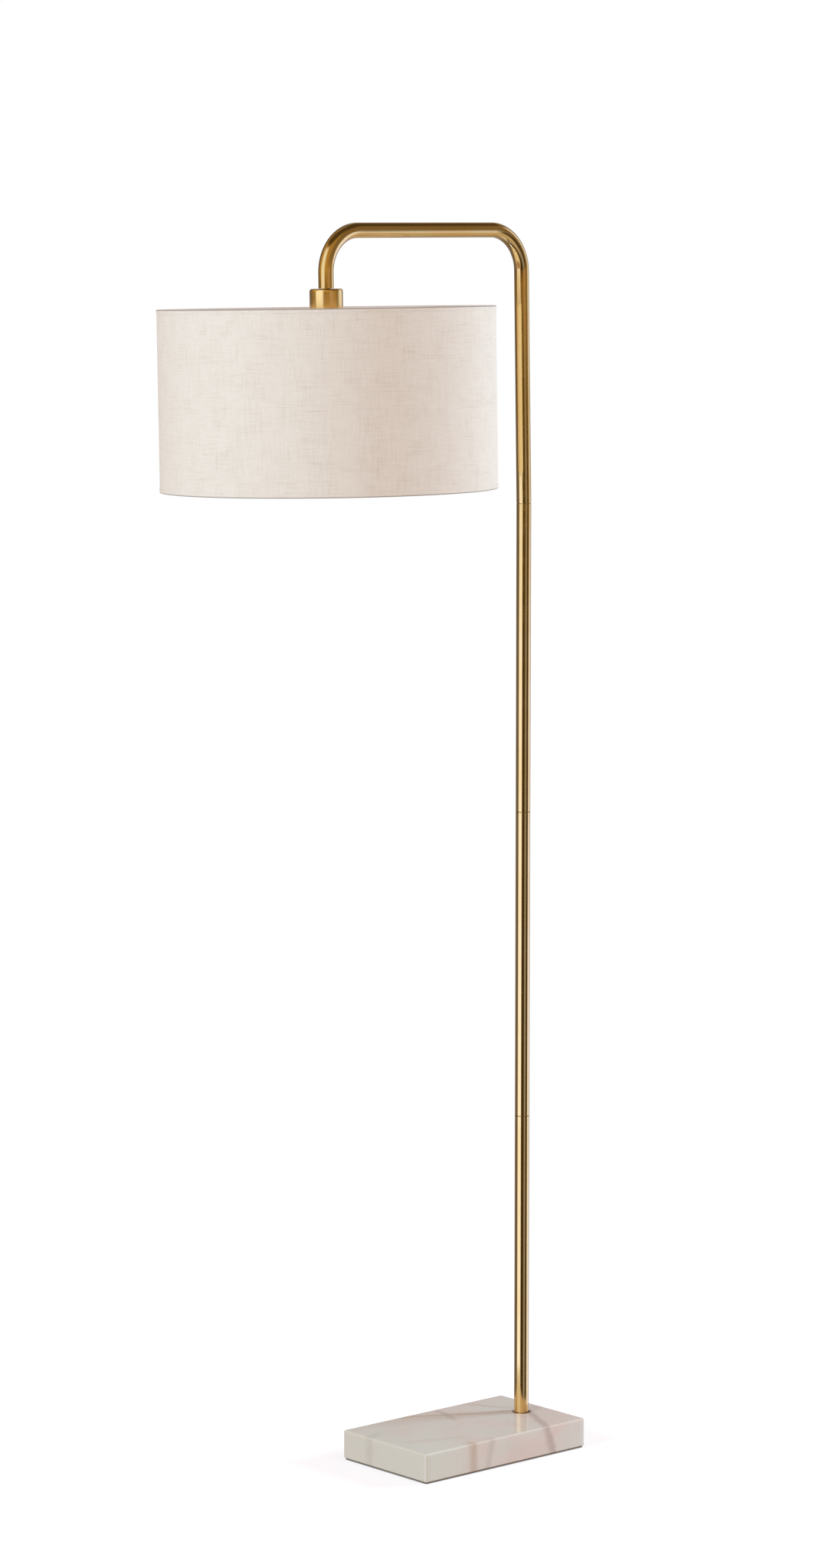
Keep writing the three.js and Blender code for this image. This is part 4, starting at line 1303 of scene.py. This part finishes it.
def reflected(n, seen):
    """The colour in a direction for polished metal: bands round the horizon, a roof and the shade's top."""
    right = n.vector("DOT_PRODUCT", seen, towards(CAMERA_AZIMUTH + pi / 2))
    back = n.vector("DOT_PRODUCT", seen, towards(CAMERA_AZIMUTH))
    up = n.axis(seen, "Z")
    not_below = n.remap(up, sine(-0.9), sine(-0.4))
    azimuth = n.times(not_below, -0.05, n.math("ARCTAN2", right, back))
    stops = [((degrees + 180) / 360, colour) for degrees, colour in BANDS]
    bands = n.ramp(n.times(azimuth, 1 / TAU, 0.5), *stops)
    level = n.blend(n.remap(up, sine(-5), sine(-1), 1.0, 0.0), LEVEL_TINT, LOW_TINT)
    level = n.vector("MULTIPLY", level, n.blend(not_below, WHITE, HEAD_TINT))
    lift = n.blend(n.times(not_below, n.remap(back, -0.65, -0.1)), BLACK, HEAD_FILL)
    bands = n.vector("MAXIMUM", n.vector("MULTIPLY", bands, level), lift)
    bands = n.vector("SCALE", bands, BAND_STRENGTH)

    # How much higher the roof starts on the left and behind the lamp, and lower at the far right.
    sides = n.plus(n.remap(right, -0.1, 0.3, 0.65, 0.0), n.remap(back, -0.3, -0.1, 0.45, 0.0))
    sides = n.plus(sides, n.remap(right, 0.88, 0.985, 0.0, -0.12))
    above = n.remap(n.math("SUBTRACT", up, sides), sine(1), sine(9))
    warm = n.times(n.remap(right, 0.45, 0.75, 1.0, 0.0), n.remap(back, -0.3, 0.1))
    high = n.remap(n.times(warm, -0.12, up), 0.60, 0.74)
    roof = n.blend(high, n.blend(warm, ROOF, ROOF_WARM), ROOF_DARK)
    below = n.times(n.remap(up, sine(-34), sine(-20), 1.0, 0.0), n.remap(right, 0.1, 0.6))
    return n.blend(below, n.blend(above, bands, roof), SHADE_TOP)


def make_world():
    world = bpy.data.worlds.new("studio")
    world.cycles.sampling_method = "NONE"
    bpy.context.scene.world = world
    n = Nodes(world)
    ray = n.add("LightPath").outputs
    seen = n.add("TexCoord").outputs["Generated"]
    colour = n.blend(n.remap(n.axis(seen, "Z"), -0.3, 0.3), *WORLD_DIFFUSE)
    colour = n.blend(ray["Is Glossy Ray"], colour, reflected(n, seen))
    colour = n.blend(ray["Is Camera Ray"], colour, WHITE)
    background = n.add("Background", {"Color": colour, "Strength": 1.0})
    n.add("OutputWorld", {"Surface": background.outputs[0]})


# Degrees to the right of the camera, height, distance, size, power in watts and colour.
LIGHTS = {
    "key": (-45, 1.9, 3.4, 1.3, 50, (0.64, 0.885, 1.0)),
    "rim": (105, 1.7, 3.4, 1.1, 90, (0.63, 0.86, 1.0)),
}
LIGHT_AIM = Vector((-0.05, 0, 0.85))


def make_light(name, degrees, height, distance, size, power, colour):
    data = bpy.data.lights.new(name, "AREA")
    data.shape = "DISK"
    data.size = size
    data.energy = power
    data.color = colour
    lamp = add_object(name, data)
    away = towards(CAMERA_AZIMUTH + radians(degrees)) * distance
    lamp.location = Vector((LIGHT_AIM.x, LIGHT_AIM.y, height)) + away
    lamp.rotation_euler = (lamp.location - LIGHT_AIM).to_track_quat("Z", "Y").to_euler()
    lamp.visible_camera = False
    lamp.visible_glossy = False


FLOOR_SIZE = 60
FLOOR_DROP = 0.05 * MM  # under the pad
FLOOR_FADE = (0.35, 1.6)  # metres from the slab over which the floor fades to white
FLOOR_PALE = ((0.62, 0.61, 0.60, 1), (0.58, 0.57, 0.56, 1))
FLOOR_LIFT = (0.50, 0.53, 0.57, 1)


def floor_material():
    made = bpy.data.materials.new("floor")
    made.cycles.emission_sampling = "NONE"
    n = Nodes(made)
    place = n.object_place()
    speck = n.noise(place, 300, 3, 0.6)
    pale = n.blend(n.noise(place, 3, 3, 0.5), *FLOOR_PALE)
    relief = n.bump(speck, 0.05 * MM, 0.2)
    matt = n.add("BsdfDiffuse", {"Color": pale, "Roughness": 0.5, "Normal": relief})
    lift = n.add("Emission", {"Color": FLOOR_LIFT, "Strength": 1.0})
    lit = n.add("AddShader", {0: matt.outputs[0], 1: lift.outputs[0]})
    white = n.add("Emission", {"Color": WHITE, "Strength": 1.0})
    fade = n.remap(n.vector("LENGTH", place), *FLOOR_FADE)
    paper = n.add("MixShader", {0: fade, 1: lit.outputs[0], 2: white.outputs[0]})
    behind = n.add("NewGeometry").outputs["Backfacing"]
    clear = n.add("BsdfTransparent")
    surface = n.add("MixShader", {0: behind, 1: paper.outputs[0], 2: clear.outputs[0]})
    n.add("OutputMaterial", {"Surface": surface.outputs[0]})
    return made


def make_floor():
    half = FLOOR_SIZE / 2
    z = CAD_BOX[0].z - FLOOR_DROP
    mesh = bpy.data.meshes.new("floor")
    corners = [(-half, -half, z), (half, -half, z), (half, half, z), (-half, half, z)]
    mesh.from_pydata(corners, [], [(0, 1, 2, 3)])
    mesh.materials.append(floor_material())
    floor = add_object("floor", mesh)
    floor.visible_glossy = False
    floor.visible_diffuse = False
    floor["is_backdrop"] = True


make_base()
make_grommet()
make_clamp()
make_poles()
make_arch()
make_lead()
make_cup()
make_holder()
make_contacts()
make_shade_ring()
make_switch()
make_drum()
make_fitter()
make_glass()
make_bulb_cap()
make_world()
for name, settings in LIGHTS.items():
    make_light(name, *settings)
make_floor()
bpy.context.scene.view_settings.view_transform = "Standard"

boxes = {"cad": CAD_BOX, "visual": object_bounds()}
{name: [list(corner) for corner in box] for name, box in boxes.items()}
